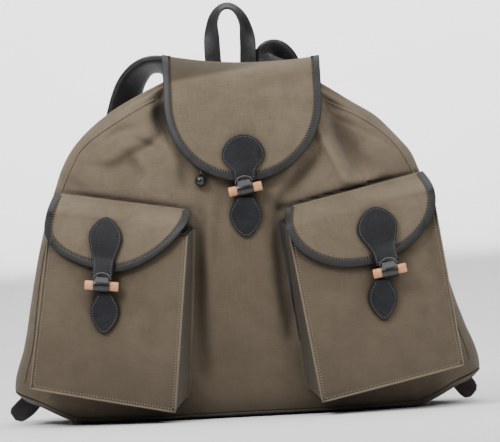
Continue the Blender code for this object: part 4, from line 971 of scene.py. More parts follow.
def buildMouth(side):
    path = ([(0, 0.06 + 0.94 * i / 10) for i in range(10)] + [(i / 40, 1) for i in range(41)]
            + [(1, 1 - 0.94 * i / 10) for i in range(1, 11)])
    centre = pocketPoint(side, 0.5, 1.0, 0.4)
    points, outwards = [], []
    for a, c in path:
        spot = pocketFront(side, a, 1.0, False) if c > 0.999 else pocketPoint(side, a, 1.0, c)
        outward = Vector((spot.x - centre.x, spot.y - centre.y, 0)).normalized()
        points.append(spot - outward * (mouthLook["thick"] / 2 - mouthLook["overlap"]) * mm
                      + Vector((0, 0, (mouthLook["rise"] + mouthLook["width"] / 2) * mm)))
        outwards.append(outward)
    section = roundedSection(mouthLook["width"] * mm, mouthLook["thick"] * mm, mouthLook["corner"] * mm)
    bar("pocketMouth" + side.capitalize(), routeFrames(points, outwards), section, edgeLeather,
        "binding_leather", "pocket_mouth_" + side)


print("pockets")
pockets = {side: buildPocket(side) for side in ("left", "right")}
panels = {side: treesOf(pockets[side]) for side in pockets}
pocketRows = []
for side in pockets:
    pocketRows += [buildWelt(side), buildFlange(side)]
    buildMouth(side)
buildShadowStrip()
sew("pocketStitches", pocketRows, khakiThread, "canvas")


# flaps: outline in the flap's own plane, and its place on the sack
flapLook = {
    "lid": {"top": (10.5, 420.0), "slope": 0.0, "left": 92.5, "right": 93.5, "leftRound": 70, "rightRound": 70,
            "length": 160.0, "taper": 0.0, "leftFull": 2.0, "rightFull": 2.0, "above": 74.0, "inset": 6.6,
            "columns": 64, "sizes": (0.170, 0.226), "area": 0.0354},
    "left": {"top": (-135.5, 260.0), "slope": -9.8, "left": 89.0, "right": 80.5, "leftRound": 38, "rightRound": 4,
             "length": 82.0, "taper": 7.0, "leftFull": 2.2, "rightFull": 1.5, "above": 0.0, "inset": 6.6,
             "columns": 60, "sizes": (0.155, 0.075), "area": 0.0098},
    "right": {"top": (134.5, 259.5), "slope": 11.6, "left": 87.0, "right": 93.0, "leftRound": 22, "rightRound": 25,
              "length": 88.5, "taper": 7.0, "leftFull": 2.0, "rightFull": 2.0, "above": 0.0, "inset": 6.6,
              "columns": 60, "sizes": (0.166, 0.081), "area": 0.0113},
}
edgeLook = {"width": 7.5, "proud": 0.5, "thick": 3.0, "crown": 0.15, "corner": 0.8, "stitchInset": 8.7,
            "stitch": {"pitch": 3.3, "length": 3.4, "thick": 1.35, "slant": 62.0, "sink": -0.15},
            "sideCells": 16, "roundCells": 44}
flapRest = {"clear": 6.5, "bend": 24.0, "dome": 2.5, "most": 0.965, "onCloth": 2.6}
lid = columns("down deep height", (
    (-76, 53, 368), (-62, 54.5, 382), (-48, 54, 395), (-36, 50, 405.5), (-24, 40, 413.5), (-12, 22, 416.5),
    (0, 0, 416.5), (14, -22, 416), (28, -40, 412), (40, -53, 402), (60, -64, 382), (85, -74, 355),
    (110, -82, 328), (135, -87, 302), (160, -90, 277), (180, -91, 257)))
# where the lid starts to lie on the sack's back, its valley under the right half, and how its top line bends
lidLook = {"half": 93.0, "backFrom": -58, "backLift": 3.3, "valley": 2.2, "crest": 8.5, "tip": 5.0,
           "follow": 13.0}


def flapEdge(shape, inset):  # the outline's points, across and down, from its left end round to its right
    sideCells, roundCells = edgeLook["sideCells"], edgeLook["roundCells"]
    points = []
    low = shape["length"] - inset
    for side in ("left", "right"):
        half = shape[side] - inset
        start = shape[side + "Round"]
        taper = shape["taper"] if start > 20 else 0.0
        power = 2 / shape[side + "Full"]
        run = [(half - taper * (1 - i / sideCells) ** 2, start * i / sideCells) for i in range(sideCells)]
        for i in range(roundCells + 1):
            angle = math.pi / 2 * i / roundCells
            run.append((half * max(math.cos(angle), 0.0) ** power,
                        start + (low - start) * math.sin(angle) ** power))
        sign = -1 if side == "left" else 1
        points.append([(sign * a, t) for a, t in run])
    return points[0] + points[1][-2::-1]


def frontView(shape, a, t):
    slope = math.radians(shape["slope"])
    return (shape["top"][0] + a * math.cos(slope) + t * math.sin(slope),
            shape["top"][1] + a * math.sin(slope) - t * math.cos(slope))


def panelY(side, x, z):  # the pocket panel's depth behind a place in the front view
    corners = pocketLook[side]["corners"]
    a, b = 0.5, 0.5
    for _ in range(6):
        spot = between(corners, a, b)
        da = between(corners, a + 0.01, b) - spot
        db = between(corners, a, b + 0.01) - spot
        miss = Vector((x, z)) - spot
        det = da.x * db.y - da.y * db.x
        a += 0.01 * (miss.x * db.y - miss.y * db.x) / det
        b += 0.01 * (da.x * miss.y - da.y * miss.x) / det
    return pocketFront(side, min(max(a, -0.06), 1.06), min(b, 1.05), False).y


def softMin(a, b, blend):
    low, gap = min(a, b), abs(a - b)
    return low - blend * math.log(1 + math.exp(-gap / blend))


def pocketFlapPlace(side, a, t, lift=0.0):
    shape = flapLook[side]
    x, z = frontView(shape, a, t)
    onPocket = panelY(side, x, z) - flapRest["clear"] * mm
    x0, z0 = frontView(shape, a, 0)
    reach = halfWidth(x0, z0) * flapRest["most"]
    x0 = math.copysign(softMin(abs(x0), reach, 6.0), x0)
    onSack = seat(cloth, x0 * mm, z0 * mm) - flapRest["onCloth"] * mm
    share = float(eased((t + 4) / (flapRest["bend"] + 4))) if t > 0 else 0.0
    dome = flapRest["dome"] * mm * math.sin(math.pi * min(max(t / shape["length"], 0), 1))
    wave = noise.noise(Vector((x / 38, z / 38, 2.7))) * 0.8 * mm * share * min((shape["length"] - t) / 25, 1)
    y = onSack * (1 - share) + onPocket * share - dome * share + wave
    onFront = (smoothFront(x, z) - flapRest["onCloth"]) * mm
    return Vector((x * mm, softMin(y, onFront, 4.0 * mm) - lift * mm, z * mm))


def lidPlace(a, t, lift=0.0):
    share = a / lidLook["half"]
    x = flapLook["lid"]["top"][0] + a
    deep, height = float(smoothAt(lid, "deep", t)), float(smoothAt(lid, "height", t))
    along = Vector((0, float(smoothAt(lid, "deep", t + 1)) - deep,
                    float(smoothAt(lid, "height", t + 1)) - height))
    outward = Vector((0, along.z, -along.y)).normalized()
    if outward.dot(Vector((0, deep, height - 330))) < 0:
        outward = -outward
    top = float(eased(1 - abs(t - 5) / 45))
    crest = (lidLook["crest"] * share * share - lidLook["tip"] * share) * top
    follow = lidLook["follow"] * share * share * (1 - top)
    deep += follow if t > 0 else -follow * 0.5
    if t < lidLook["backFrom"]:
        held = float(eased((lidLook["backFrom"] - t) / 16))
        deep = deep * (1 - held) + (seat(cloth, x * mm, height * mm, True) / mm + lidLook["backLift"]) * held
    valley = math.exp(-((t - 62 + 16 * share) / 9) ** 2) * float(eased((share + 0.35) / 0.5))
    wave = noise.noise(Vector((a / 42, t / 42, 6.1))) * 0.8 * float(eased(t / 20)) * min((160 - t) / 30, 1)
    lift += min(wave, 0.3) - lidLook["valley"] * valley
    return Vector((x, deep, height + crest)) * mm + outward * lift * mm


def flapPlace(side, a, t, lift=0.0):
    return lidPlace(a, t, lift) if side == "lid" else pocketFlapPlace(side, a, t, lift)


def flapNormal(side, a, t):
    spot = flapPlace(side, a, t)
    normal = (flapPlace(side, a + 0.8, t) - spot).cross(flapPlace(side, a, t - 0.8) - spot).normalized()
    return normal if normal.dot(spot - flapInside(side)) > 0 else -normal


def flapInside(side):
    return flapPlace(side, 0, flapLook[side]["length"] * 0.6, -100)


def buildFlap(side):
    shape = flapLook[side]
    edge = flapEdge(shape, shape["inset"])
    half = (len(edge) - 1) // 2
    above = 26 if shape["above"] else 0

    def place(u, v):
        i = round(v * (half + above)) - above
        left, right = edge[max(i, 0)], edge[len(edge) - 1 - max(i, 0)]
        a = left[0] + (right[0] - left[0]) * u
        t = left[1] + (right[1] - left[1]) * u if i >= 0 else shape["above"] * i / above
        return flapPlace(side, a, t)

    piece = clothGrid("flapCloth" + side.capitalize(), shape["columns"], half + above, each(place))
    mergeDoubles(piece)
    faceAwayFrom(piece, flapInside(side))
    giveThickness(piece, 2.0 * mm)
    smoothShade(piece, 60)
    node = "lid_flap" if side == "lid" else "pocket_flap_" + side
    dress(piece, lidCanvas if side == "lid" else flapCanvas, "canvas", node)
    return piece


def buildEdge(side):  # the leather edge, folded round the cloth's rim
    shape = flapLook[side]
    section = roundedSection(edgeLook["width"], edgeLook["thick"], edgeLook["corner"], edgeLook["crown"])
    rings = []
    for across, up in section:
        inset = edgeLook["width"] / 2 - across
        rings.append((flapEdge(shape, inset), edgeLook["proud"] - edgeLook["thick"] / 2 + up))
    count, around = len(rings[0][0]), len(rings)

    def place(u, v):
        points, lift = rings[round(v * around) % around]
        a, t = points[round(u * (count - 1))]
        return flapPlace(side, a, t, lift)

    piece = clothGrid("flapEdge" + side.capitalize(), count - 1, around, each(place))
    mergeDoubles(piece, 1e-6)
    closeEnds(piece)
    faceOutwards(piece)
    smoothShade(piece, 60)
    dress(piece, edgeLeather, "binding_leather", "lid_binding" if side == "lid" else "flap_binding_" + side)
    sewn = [p for p in flapEdge(shape, edgeLook["stitchInset"]) if p[1] > 1]
    return piece, {"points": [flapPlace(side, a, t, 0.15) for a, t in sewn],
                   "outwards": [flapNormal(side, a, t) for a, t in sewn], **edgeLook["stitch"]}


print("flaps")
flapPieces, edgeRows = {}, []
for side in ("left", "right", "lid"):
    clothPiece = buildFlap(side)
    edgePiece, row = buildEdge(side)
    edgeRows.append(row)
    flapPieces[side] = treesOf(clothPiece, edgePiece)
sew("edgeStitches", edgeRows, blackThread, "binding_leather")


# toggle closures
closureLook = {
    "lid": {"top": (8.0, 331.0), "lean": 0.5, "bulb": 25.0, "tall": 25.0, "neck": 12.3, "point": 2.0,
            "peg": (8.5, 267.5), "tilt": 9.0, "low": (8.2, 257.5), "hang": -1.8, "broad": 1.0},
    "left": {"top": (-155.5, 243.0), "lean": -6.9, "bulb": 19.2, "tall": 22.5, "neck": 11.5, "point": 1.6,
             "peg": (-165.0, 163.5), "tilt": -6.5, "low": (-161.5, 153.9), "hang": -4.9, "broad": 0.88},
    "right": {"top": (155.5, 238.0), "lean": 12.5, "bulb": 23.5, "tall": 23.5, "neck": 13.6, "point": 1.72,
              "peg": (172.0, 163.5), "tilt": 9.0, "low": (162.4, 153.2), "hang": 0.7, "broad": 0.88},
}
tabLook = {"thick": 2.5, "lift": 0.45, "inset": 1.9, "groove": 0.22, "corner": 0.7, "lowerLength": 46.0,
           "lowerSpine": (15.0, 35.0), "upperBend": 26, "lowerBend": 30, "lowerShare": 0.85,
           "stitch": {"pitch": 3.0, "length": 1.7, "thick": 0.95, "sink": 0.0}}
pegLook = {"length": 39.5, "radius": 5.5, "endInset": 1.6, "endRise": 0.2, "corner": 0.9,
           "sleeve": 19.5, "sleeveOut": 7.85, "sleeveWall": 2.0}
slitLook = {"half": 10.0, "rise": 7.6, "lip": 1.4}
tongueLook = {"half": 8.2, "taper": 1.5, "foot": 4.0, "tall": 8.6, "thick": 1.0}
lowerTab = columns("down half", ((0, 9.0), (7, 13.5), (14, 17.5), (21, 18.8), (29, 17.0), (36, 13.0), (42, 8.0),
                                 (46, 3.0)))


def upperHalf(look, down, length):  # the upper tab's half width: a bulb that narrows to a neck
    bulb, tall, neck, point = (look[key] for key in ("bulb", "tall", "neck", "point"))
    if down <= tall:
        return bulb * max(0.0, 1 - ((tall - down) / tall) ** point) ** (1 / point)
    return neck + (bulb - neck) * (1 - float(eased((down - tall) / (0.72 * (length - tall)))))


def tabPiece(name, length, half, spine, spotOf, depthOf, node):
    # rings from the outline in to the spine, so that the stitched groove follows the edge
    downs = [length * (1 - math.cos(math.pi * i / 46)) / 2 for i in range(47)]
    outline = [(-half(d), d) for d in downs]
    end = half(length)
    outline += [(end * (2 * i / 8 - 1), length) for i in range(1, 8)] if end > 5 else []
    outline += [(half(d), d) for d in downs[::-1]]
    rings = [0.0, 0.6, tabLook["inset"] - 0.45, tabLook["inset"], tabLook["inset"] + 0.45, 3.4]
    count = len(outline)

    def spot(i, k):
        reach, down = outline[i % count]
        foot = Vector((0, min(max(down, spine[0]), spine[1])))
        out = Vector((reach, down)) - foot
        size = max(out.length, 1e-6)
        share = min(rings[k] / size, 0.9) if k < len(rings) else min(rings[-1] / size, 0.9)
        if k >= len(rings):
            share += (1 - share) * (k - len(rings) + 1) / 5
        return foot + out * (1 - share), -tabLook["groove"] if k == 3 else 0.0

    def place(u, v):
        flat, sunk = spot(round(u * count), round(v * (len(rings) + 4)))
        x, z = spotOf(flat.x, flat.y)
        return Vector((x * mm, depthOf(x, z, flat.y) - sunk * mm, z * mm))

    piece = clothGrid(name, count, len(rings) + 4, each(place))
    mergeDoubles(piece, 3e-5)
    faceAwayFrom(piece, Vector(place(0, 0.5)) + Vector((0, 0.08, 0)))
    giveThickness(piece, tabLook["thick"] * mm, tabLook["corner"] * mm)
    smoothShade(piece, 50)
    dress(piece, tabLeather, "tab_leather", node)
    line = [spotOf(*spot(i, 3)[0]) for i in range(count) if spot(i, 3)[0].y < length - (3 if end > 5 else 0)]
    return {**seamOn(treesOf(piece), [(x * mm, z * mm) for x, z in line]), **tabLook["stitch"]}


def lyingDepth(trees, x, z):  # leather laid over what is under it, so that it doesn't follow every step
    found = []
    for dx, dz in ((0, 0), (2.5, 0), (-2.5, 0), (0, 2.5), (0, -2.5), (4, 4), (-4, 4), (4, -4), (-4, -4)):
        hit = hitFrom(trees, (x + dx) * mm, (z + dz) * mm)
        if hit:
            found.append(hit[0].y)
    return min(found) if found else None


def leaning(origin, degrees):  # finds x and z of a point across and down along a leaning line
    angle = math.radians(degrees)
    downWay = Vector((math.sin(angle), -math.cos(angle)))
    acrossWay = Vector((math.cos(angle), math.sin(angle)))
    return lambda reach, down: tuple(Vector(origin) + downWay * down + acrossWay * reach)


def buildPeg(side, spot, tilt):  # the wooden peg and the leather sleeve round it
    turned = {"location": spot, "rotation": (0, math.pi / 2 - tilt, 0)}
    axis = Vector((math.cos(tilt), 0, math.sin(tilt)))
    deselectAll()
    bpy.ops.mesh.primitive_cylinder_add(vertices=32, radius=pegLook["radius"] * mm, depth=pegLook["length"] * mm,
                                        **turned)
    wood = named("peg" + side.capitalize())
    for end in (-1, 1):
        insetFaces(wood, lambda face: face.normal.dot(axis) * end > 0.9, pegLook["endInset"],
                   axis * end * pegLook["endRise"])
    roundEdges(wood, pegLook["corner"] * mm, 3)
    applyAll(wood)
    smoothShade(wood, 40)
    dress(wood, pegWood, "peg_wood", "toggle_peg_" + side)
    wood.data.materials.append(pegEndWood)
    for face in wood.data.polygons:
        if abs(face.normal.dot(axis)) > 0.75:
            face.material_index = 1
    deselectAll()
    bpy.ops.mesh.primitive_cylinder_add(vertices=40, radius=pegLook["sleeveOut"] * mm, end_fill_type="NOTHING",
                                        depth=pegLook["sleeve"] * mm, **turned)
    sleeve = named("sleeve" + side.capitalize())
    giveThickness(sleeve, pegLook["sleeveWall"] * mm, 0.6 * mm)
    smoothShade(sleeve, 50)
    dress(sleeve, sleeveLeather, "tab_leather", "toggle_loop_" + side)


def buildClosure(side, carrier):
    look = closureLook[side]
    name = side.capitalize()
    low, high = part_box("toggle_peg_" + side)
    pegSpot = (low + high) / 2
    tilt = math.radians(look["tilt"])
    peg = Vector(look["peg"])
    skew = abs(math.tan(tilt - math.radians(look["lean"])))
    out = pegLook["sleeveOut"]
    upperLength = (peg - Vector(look["top"])).length - out - 0.6 - look["neck"] * skew
    raised = pegSpot.y - tabLook["thick"] / 2 * mm
    memory = {}

    def lying(x, z):
        key = (round(x), round(z))
        if key not in memory:
            found = lyingDepth(flapPieces[side], x, z)
            memory[key] = found - (tabLook["lift"] + tabLook["thick"]) * mm if found else raised
        return memory[key]

    def smoothLying(x, z):
        x0, z0 = math.floor(x), math.floor(z)
        total = weight = 0.0
        for i in (-1, 0, 1, 2):
            for j in (-1, 0, 1, 2):
                w = math.exp(-((x0 + i - x) ** 2 + (z0 + j - z) ** 2) / 2.5)
                total += lying(x0 + i, z0 + j) * w
                weight += w
        return total / weight

    def upperDepth(x, z, down):  # on the flap, and out in front of the peg towards its foot
        share = float(eased(1 - (upperLength - down) / tabLook["upperBend"]))
        return smoothLying(x, z) * (1 - share) + min(raised, smoothLying(x, z)) * share

    def lowerDepth(x, z, down):
        found = lyingDepth(carrier, x, z) - (tabLook["thick"] + 0.5) * mm
        share = float(eased(1 - down / tabLook["lowerBend"])) * tabLook["lowerShare"]
        return found * (1 - share) + min(raised, found) * share

    rows = [tabPiece("tabUpper" + name, upperLength, lambda down: upperHalf(look, down, upperLength),
                     (look["tall"], upperLength - look["neck"] * 0.6), leaning(look["top"], look["lean"]),
                     upperDepth, "tab_upper_" + side),
            tabPiece("tabLower" + name, tabLook["lowerLength"],
                     lambda down: float(smoothAt(lowerTab, "half", down)) * look["broad"],
                     tabLook["lowerSpine"], leaning(look["low"], look["hang"]), lowerDepth,
                     "tab_lower_" + side)]
    buildPeg(side, pegSpot, tilt)

    # the slit that the sleeve comes through: an arched cut edge above the peg, its pale leather a painted
    # highlight along the rim
    up = Vector((-math.sin(tilt), math.cos(tilt)))
    aside = Vector((math.cos(tilt), math.sin(tilt)))
    points = []
    for i in range(25):
        angle = math.pi * i / 24
        spot = (peg + aside * (-slitLook["half"] * math.cos(angle))
                + up * (slitLook["rise"] + slitLook["rise"] * math.sin(angle)))
        points.append(Vector((spot.x * mm, upperDepth(*spot, upperLength - 4) - 0.1 * mm, spot.y * mm)))
    bar("slitEdge" + name, routeFrames(points, [(0, -1, 0)] * 25), roundSection(slitLook["lip"] * mm, 8),
        paintedRimHighlight, "tab_leather", angle=45)

    def tonguePlace(u, v):  # the tongue from the slit down to the sleeve
        rise = tongueLook["foot"] + tongueLook["tall"] * v
        spot = peg + aside * ((2 * u - 1) * (tongueLook["half"] - tongueLook["taper"] * v * v)) + up * rise
        front = -out * math.sqrt(max(0.0, 1 - (rise / (out + 4.5)) ** 2))
        y = pegSpot.y / mm + front * (1 - v) ** 0.7
        return Vector((spot.x, min(y, upperDepth(*spot, upperLength - 4) / mm - 0.5), spot.y)) * mm

    tongue = clothGrid("tongue" + name, 10, 12, each(tonguePlace))
    faceAwayFrom(tongue, pegSpot + Vector((0, 0.05, 0)))
    giveThickness(tongue, tongueLook["thick"] * mm, 0.3 * mm)
    smoothShade(tongue, 50)
    dress(tongue, sleeveLeather, "tab_leather")
    return rows


print("closures")
tabRows = []
for side, carrier in (("lid", cloth), ("left", panels["left"]), ("right", panels["right"])):
    tabRows += buildClosure(side, carrier)
sew("tabStitches", tabRows, greyThread, "tab_leather")


# the drawcord round the gathered neck
neckLook = {"height": 405.5, "clear": 0.9, "points": 220}


def neckSpot(turn):
    outlines = [sackOutline(turn + step, neckLook["height"]) for step in (0.01, -0.01, 0)]
    ahead, behind, spot = (Vector((float(x), float(y), 0)) for x, y, side in outlines)
    outward = Vector((ahead.y - behind.y, behind.x - ahead.x, 0)).normalized()
    if outward.dot(spot) < 0:
        outward = -outward
    spot.z = neckLook["height"]
    return (spot + outward * (sackLook["gatherDepth"] + cordLook["diameter"] / 2 + neckLook["clear"])) * mm


print("drawcord")
count = neckLook["points"]
neckPoints = [neckSpot(2 * math.pi * i / count) for i in range(count)]
bar("drawCord", routeFrames(neckPoints, [(0, 0, 1)] * count, True, swells(count, 2.0)),
    roundSection(cordLook["diameter"] * mm), blackBraid, "cord", "drawcord", closed=True, angle=45)


# straps: centre line, width, thickness and the way that the outer face looks
def strapTable(rows):
    return columns("key x y z width thick fx fy fz", [(k, *row) for k, row in enumerate(rows)])


def strapFrame(rows, key):
    last = len(rows["key"]) - 1
    centre = Vector([float(smoothAt(rows, n, key)) for n in "xyz"])
    ahead = Vector([float(smoothAt(rows, n, min(key + 0.02, last))) for n in "xyz"])
    behind = Vector([float(smoothAt(rows, n, max(key - 0.02, 0))) for n in "xyz"])
    along = (ahead - behind).normalized()
    face = Vector([float(smoothAt(rows, n, key)) for n in ("fx", "fy", "fz")])
    across = along.cross(face).normalized()
    return (centre, along, across, across.cross(along), float(smoothAt(rows, "width", key)),
            float(smoothAt(rows, "thick", key)))


def alongStrap(rows, lowest, highest, count):
    return [strapFrame(rows, lowest + (highest - lowest) * i / (count - 1)) for i in range(count)]


def strapPiece(name, rows, section, steps, material, node):
    frames = alongStrap(rows, 0.0, len(rows["key"]) - 1, steps + 1)
    stations = [(centre * mm, across * width * mm, outward * thick * mm)
                for centre, along, across, outward, width, thick in frames]
    return bar(name, stations, section, material, "strap_leather", node, angle=50)


strapStitch = {"pitch": 2.6, "length": 1.9, "thick": 0.55}


def strapSeams(rows, lowest, highest, inside, side=1, count=60):  # a row of stitches along both edges
    both = []
    for sign in (-1, 1):
        row = {"points": [], "outwards": [], **strapStitch}
        for centre, along, across, outward, width, thick in alongStrap(rows, lowest, highest, count):
            spot = centre + across * sign * (width / 2 - inside) + outward * side * (thick / 2)
            row["points"].append(spot * mm)
            row["outwards"].append(outward * side)
        both.append(row)
    return both


strapSize = {"width": 25.0, "thick": 2.6, "corner": 0.8, "crown": 0.15}
loopLook = {"width": 19.5, "thick": 3.4, "corner": 1.3, "crown": 0.35}


def unitSection(look):  # a section that the strap's own width and thickness will stretch
    bound = roundedSection(look["width"], look["thick"], look["corner"], look["crown"])
    return [(x / look["width"], y / look["thick"]) for x, y in bound]


backLow = seat(cloth, -0.0215, 0.340, True) / mm + 2.6
loopRoute = strapTable([(x, y, z, loopLook["width"], loopLook["thick"], *face) for x, y, z, *face in (
    (-21.5, backLow, 340, 0, -1, 0), (-21.5, 57, 372, 0, -1, 0), (-22, 59, 410, 0, -1, 0),
    (-22.5, 60, 444, -0.3, -1, 0), (-20.5, 61, 467, -1, -0.75, 0.25), (-13, 62, 481, -0.6, -0.4, 0.8),
    (-2, 62, 485.5, 0.1, -0.35, 1), (9, 62, 480, 0.7, -0.4, 0.7), (17.5, 61, 465, 1, -0.75, 0.2),
    (20.5, 60, 442, 0.3, -1, 0), (19.5, 59, 410, 0, -1, 0), (19.5, 57, 372, 0, -1, 0),
    (19.5, backLow, 340, 0, -1, 0))])

print("carry loop")
strapPiece("carryLoop", loopRoute, unitSection(loopLook), 150, strapLeather, "carry_loop")
strapRows = strapSeams(loopRoute, 0.05, 0.9, 3.0, -1, 14) + strapSeams(loopRoute, 11.1, 11.95, 3.0, -1, 14)

padTop = 345.0


def padSeat(x, clear):
    return seat(cloth, x * mm, padTop * mm, True) / mm + 2.5 + clear


padRoutes = {
    "left": strapTable((
        (-54, padSeat(-54, 0.6), padTop, 34, 5, 0, 1, 0), (-55, 63, 372, 36, 8, 0, 1, 0),
        (-64, 68, 399, 38, 10, 0, 1, 0.2),
        (-82, 73, 418, 36, 10, 0, 0.6, 0.9), (-105, 78, 417, 36, 10, -0.3, 0.6, 0.8),
        (-123, 86, 397, 38, 10, -0.5, 0.9, 0.4), (-133, 92, 366, 40, 10, -0.35, 1, 0.2),
        (-141, 98, 325, 42, 10, -0.2, 1, 0.1), (-150, 103, 280, 44, 10, -0.1, 1, 0),
        (-164, 104, 230, 42, 10, 0, 1, 0), (-176, 102, 193, 34, 7, 0, 1, -0.1),
        (-181, 100.8, 179.5, 28, 3.6, 0, 1, -0.1))),
    "right": strapTable((
        (50, padSeat(50, 0.8), padTop, 34, 5, 0, 1, 0), (48, 63, 374, 36, 8, 0, 1, 0),
        (46, 66, 402, 38, 10, 0, 1, 0.1),
        (48, 72, 424, 38, 10, 0, 1, 0.5), (58, 79, 420, 38, 10, 0.1, 1, 0.5), (72, 87, 394, 38, 10, 0.3, 1, 0.3),
        (91, 93, 362, 40, 10, 0.3, 1, 0.2), (115, 98, 325, 42, 10, 0.2, 1, 0.1),
        (136, 103, 280, 44, 10, 0.1, 1, 0), (156, 104, 230, 42, 10, 0, 1, 0), (170, 102, 193, 34, 7, 0, 1, -0.1),
        (175, 100.8, 179.5, 28, 3.6, 0, 1, -0.1))),
}
lowerRoutes = {
    "left": ((-181.1, 100.7, 178.8, 25, 0), (-196, 97, 141, 25, -0.1), (-214, 91, 104, 25, -0.15),
             (-234, 81, 70, 25, -0.2), (-250, 69, 42, 25, -0.2), (-262, 57, 23, 25, -0.15),
             (-273, 50, 13.3, 24, -0.1), (-280, 47.5, 9.6, 20, -0.1), (-284, 46, 7.2, 11, -0.1)),
    "right": ((175.1, 100.7, 178.8, 25, 0), (190, 97, 141, 25, 0.1), (208, 91, 104, 25, 0.15),
              (228, 81, 70, 25, 0.2), (244, 69, 42, 25, 0.2), (255, 57, 23, 25, 0.15),
              (262.5, 50, 12.7, 24, 0.1), (266.5, 47.5, 8.8, 20, 0.1), (269, 46, 6.4, 11, 0.1)),
}
strapRoutes = {side: strapTable([(x, y, z, width, strapSize["thick"], aside, 1, 0 if aside else -0.1)
                                 for x, y, z, width, aside in rows]) for side, rows in lowerRoutes.items()}
padSection = []
for k in range(36):
    angle = 2 * math.pi * k / 36
    padSection.append((0.5 * math.copysign(abs(math.cos(angle)) ** 0.5, math.cos(angle)),
                       0.5 * math.copysign(abs(math.sin(angle)) ** 0.8, math.sin(angle))))

padLook = {"stripWidth": 20.0, "stripThick": 1.8, "stripKeys": (0.6, 10.5), "stitchInset": 2.0, "pipe": 2.2,
           "pipeKeys": (0.15, 10.75)}

print("straps")
for side in ("left", "right"):
    name = side.capitalize()
    rows = padRoutes[side]
    pad = strapPiece("strapPad" + name, rows, padSection, 150, strapLeather, "strap_pad_" + side)
    # a flat strap sewn along the pad's outer face
    strip = []
    sewn = [{"points": [], "outwards": [], **strapStitch} for _ in range(2)]
    for centre, along, across, outward, width, thick in alongStrap(rows, *padLook["stripKeys"], 120):
        spot = centre + outward * (thick / 2 + 0.2)
        strip.append((spot * mm, across, outward))
        for row, sign in zip(sewn, (-1, 1)):
            beside = across * sign * (padLook["stripWidth"] / 2 - padLook["stitchInset"])
            row["points"].append((spot + beside + outward * 0.95) * mm)
            row["outwards"].append(outward)
    section = roundedSection(padLook["stripWidth"] * mm, padLook["stripThick"] * mm, 0.6 * mm, 0.1 * mm)
    bar("padStrip" + name, strip, section, strapLeather, "strap_leather", angle=50)
    strapRows += sewn
    for label, sign in (("A", -1), ("B", 1)):  # piping along both of the pad's edges
        pipe = [((centre + across * sign * (width / 2 - 0.3)) * mm, across, outward)
                for centre, along, across, outward, width, thick in alongStrap(rows, *padLook["pipeKeys"], 120)]
        bar(f"padPiping{name}{label}", pipe, roundSection(padLook["pipe"] * mm, 8), strapLeather,
            "strap_leather", angle=45)
    strapPiece("strapLower" + name, strapRoutes[side], unitSection(strapSize), 130,
               brownLeather if side == "right" else tailLeather, "strap_lower_" + side)
    strapRows += strapSeams(strapRoutes[side], 0.1, 2.6, 2.6)

buckleLook = {"at": 2.9, "wire": 3.4, "halfLong": 12.0, "bend": 4.0, "play": 1.4}
keeperLook = {"at": 3.44, "width": 8.0, "thick": 1.8, "bend": 2.0, "play": 0.7}
chapeLook = {"clear": 0.9, "keys": (0.43, 0.75, 1.05), "onSack": 0.6}
hull = treesOf(sackBody, base)


def roundedCorners(corners, radius, steps=6):
    points = []
    for i, corner in enumerate(corners):
        before = (corners[i - 1] - corner).normalized() * radius
        after = (corners[(i + 1) % len(corners)] - corner).normalized() * radius
        for k in range(steps + 1):
            t = k / steps
            points.append((1 - t) ** 2 * (corner + before) + 2 * t * (1 - t) * corner
                          + t * t * (corner + after))
    return points


def buildBuckle(side):
    name = side.capitalize()
    route = strapRoutes[side]
    halfStrap, halfThick, wire = strapSize["width"] / 2, strapSize["thick"] / 2, buckleLook["wire"]
    centre, along, across, outward = strapFrame(route, buckleLook["at"])[:4]
    halfWide = halfStrap + wire / 2 + buckleLook["play"]
    rise = halfThick + wire / 2 + 1.0
    corners = [centre + across * (a * halfWide) + along * (b * buckleLook["halfLong"]) - outward * (b * rise)
               for a, b in ((-1, -1), (-1, 1), (1, 1), (1, -1))]
    points = [p * mm for p in roundedCorners(corners, buckleLook["bend"])]
    bar("buckle" + name, routeFrames(points, [outward] * len(points), True), roundSection(wire * mm),
        blackWire, "buckle_steel", "strap_buckle_" + side, closed=True, angle=45)

    centre, along, across, outward = strapFrame(route, keeperLook["at"])[:4]
    half = keeperLook["thick"] / 2
    wide = halfStrap + keeperLook["play"] + half
    low, high = -halfThick - strapSize["thick"] - chapeLook["clear"] - 2 * half, halfThick + 0.6 + half
    corners = [centre + across * a * wide + outward * o
               for a, o in ((-1, low), (1, low), (1, high), (-1, high))]
    middle = centre + outward * (low + high) / 2
    stations = [(p * mm, along, (p - middle).normalized())
                for p in roundedCorners(corners, keeperLook["bend"], 4)]
    section = roundedSection(keeperLook["width"] * mm, keeperLook["thick"] * mm, 0.6 * mm)
    bar("keeper" + name, stations, section, strapLeather, "strap_leather", "strap_keeper_" + side,
        closed=True, angle=50)

    # the chape lies under the strap, and its end is sewn to the side of the sack
    rows = []
    for key in chapeLook["keys"]:
        centre, _, _, outward = strapFrame(route, buckleLook["at"] + key)[:4]
        rows.append((*(centre - outward * (strapSize["thick"] + chapeLook["clear"])), *outward))
    last = Vector(rows[-1][:3]) * mm
    found = min((tree.find_nearest(last) for tree in hull), key=lambda hit: hit[3])
    sewn = (found[0] + (last - found[0]).normalized() * chapeLook["onSack"] * mm) / mm
    rows += [(*Vector(rows[2][:3]).lerp(sewn, share), *outward) for share in (0.55, 1.0)]
    chape = strapTable([(*row[:3], strapSize["width"], strapSize["thick"], *row[3:]) for row in rows])
    strapPiece("chape" + name, chape, unitSection(strapSize), 40, tailLeather, "strap_chape_" + side)


print("buckles")
for side in ("left", "right"):
    buildBuckle(side)
sew("strapStitches", strapRows, blackThread, "strap_leather")


# floor, wall and lamps
print("stage")
stageLook = {"bend": 6.6, "radius": 1.5, "tone": 0.95, "wide": 20.0, "long": 20.0, "front": 9.0,
             "world": 0.05}


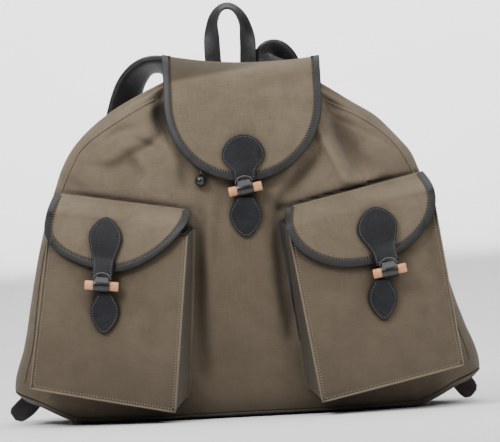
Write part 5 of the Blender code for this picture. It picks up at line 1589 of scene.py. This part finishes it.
def backdrop(u, v):  # a level floor that turns up into a wall behind the rucksack
    bend, radius = stageLook["bend"], stageLook["radius"]
    run = v * stageLook["long"] - stageLook["front"]
    turn = np.clip((run - bend) / radius, 0, math.pi / 2)
    y = np.where(run < bend, run, bend + radius * np.sin(turn))
    rise = np.clip(run - bend - radius * math.pi / 2, 0, None)
    z = np.where(run < bend, 0, radius * (1 - np.cos(turn)) + rise)
    return np.stack([(u - 0.5) * stageLook["wide"], y, z - 0.0004], 1)


floor = clothGrid("floorSheet", 12, 130, backdrop)
faceAwayFrom(floor, (0, 0, -5))
smoothShade(floor)
paper = Mixer("paleFloor")
tone = stageLook["tone"]
mottled = paper.blend(paper.between(paper.spots(3.0, 2.0), 0.3, 0.7), (tone - 0.02,) * 3, (tone,) * 3)
floor.data.materials.append(paper.finish(mottled, 0.9, paper.bump(paper.spots(300.0, 2.0), 0.0002, 0.1)))

world = bpy.data.worlds.new("studio")
world.use_nodes = True
world.node_tree.nodes["Background"].inputs["Color"].default_value = (1.0, 1.0, 1.0, 1)
world.node_tree.nodes["Background"].inputs["Strength"].default_value = stageLook["world"]
bpy.context.scene.world = world

# a softbox high on the left, a weaker one on the right, a wide one overhead and one for the wall
lamps = {
    "leftLamp": {"power": 4.5, "at": (-1.05, -1.35, 1.65), "toward": (0.05, 0, 0.42), "size": (0.7, 0.7),
                 "spread": 66},
    "rightLamp": {"power": 2.2, "at": (1.2, -1.6, 1.3), "toward": (0, 0, 0.38), "size": (0.5, 0.5),
                  "spread": 80},
    "topLamp": {"power": 560, "at": (0.0, 0.5, 5.0), "toward": (0, 0.5, 0), "size": (10.0, 10.0),
                "spread": 150},
    "wallLamp": {"power": 160, "at": (0.0, 5.2, 3.2), "toward": (0, 8.1, 1.0), "size": (5.0, 0.8),
                 "spread": 110},
}
for name, lamp in lamps.items():
    deselectAll()
    bpy.ops.object.light_add(type="AREA", location=lamp["at"])
    light = bpy.context.object
    light.name = name
    light.data.shape = "RECTANGLE"
    light.data.size, light.data.size_y = lamp["size"]
    light.data.spread = math.radians(lamp["spread"])
    light.data.energy = lamp["power"]
    aim = Vector(lamp["toward"]) - Vector(lamp["at"])
    light.rotation_euler = aim.to_track_quat("-Z", "Y").to_euler()
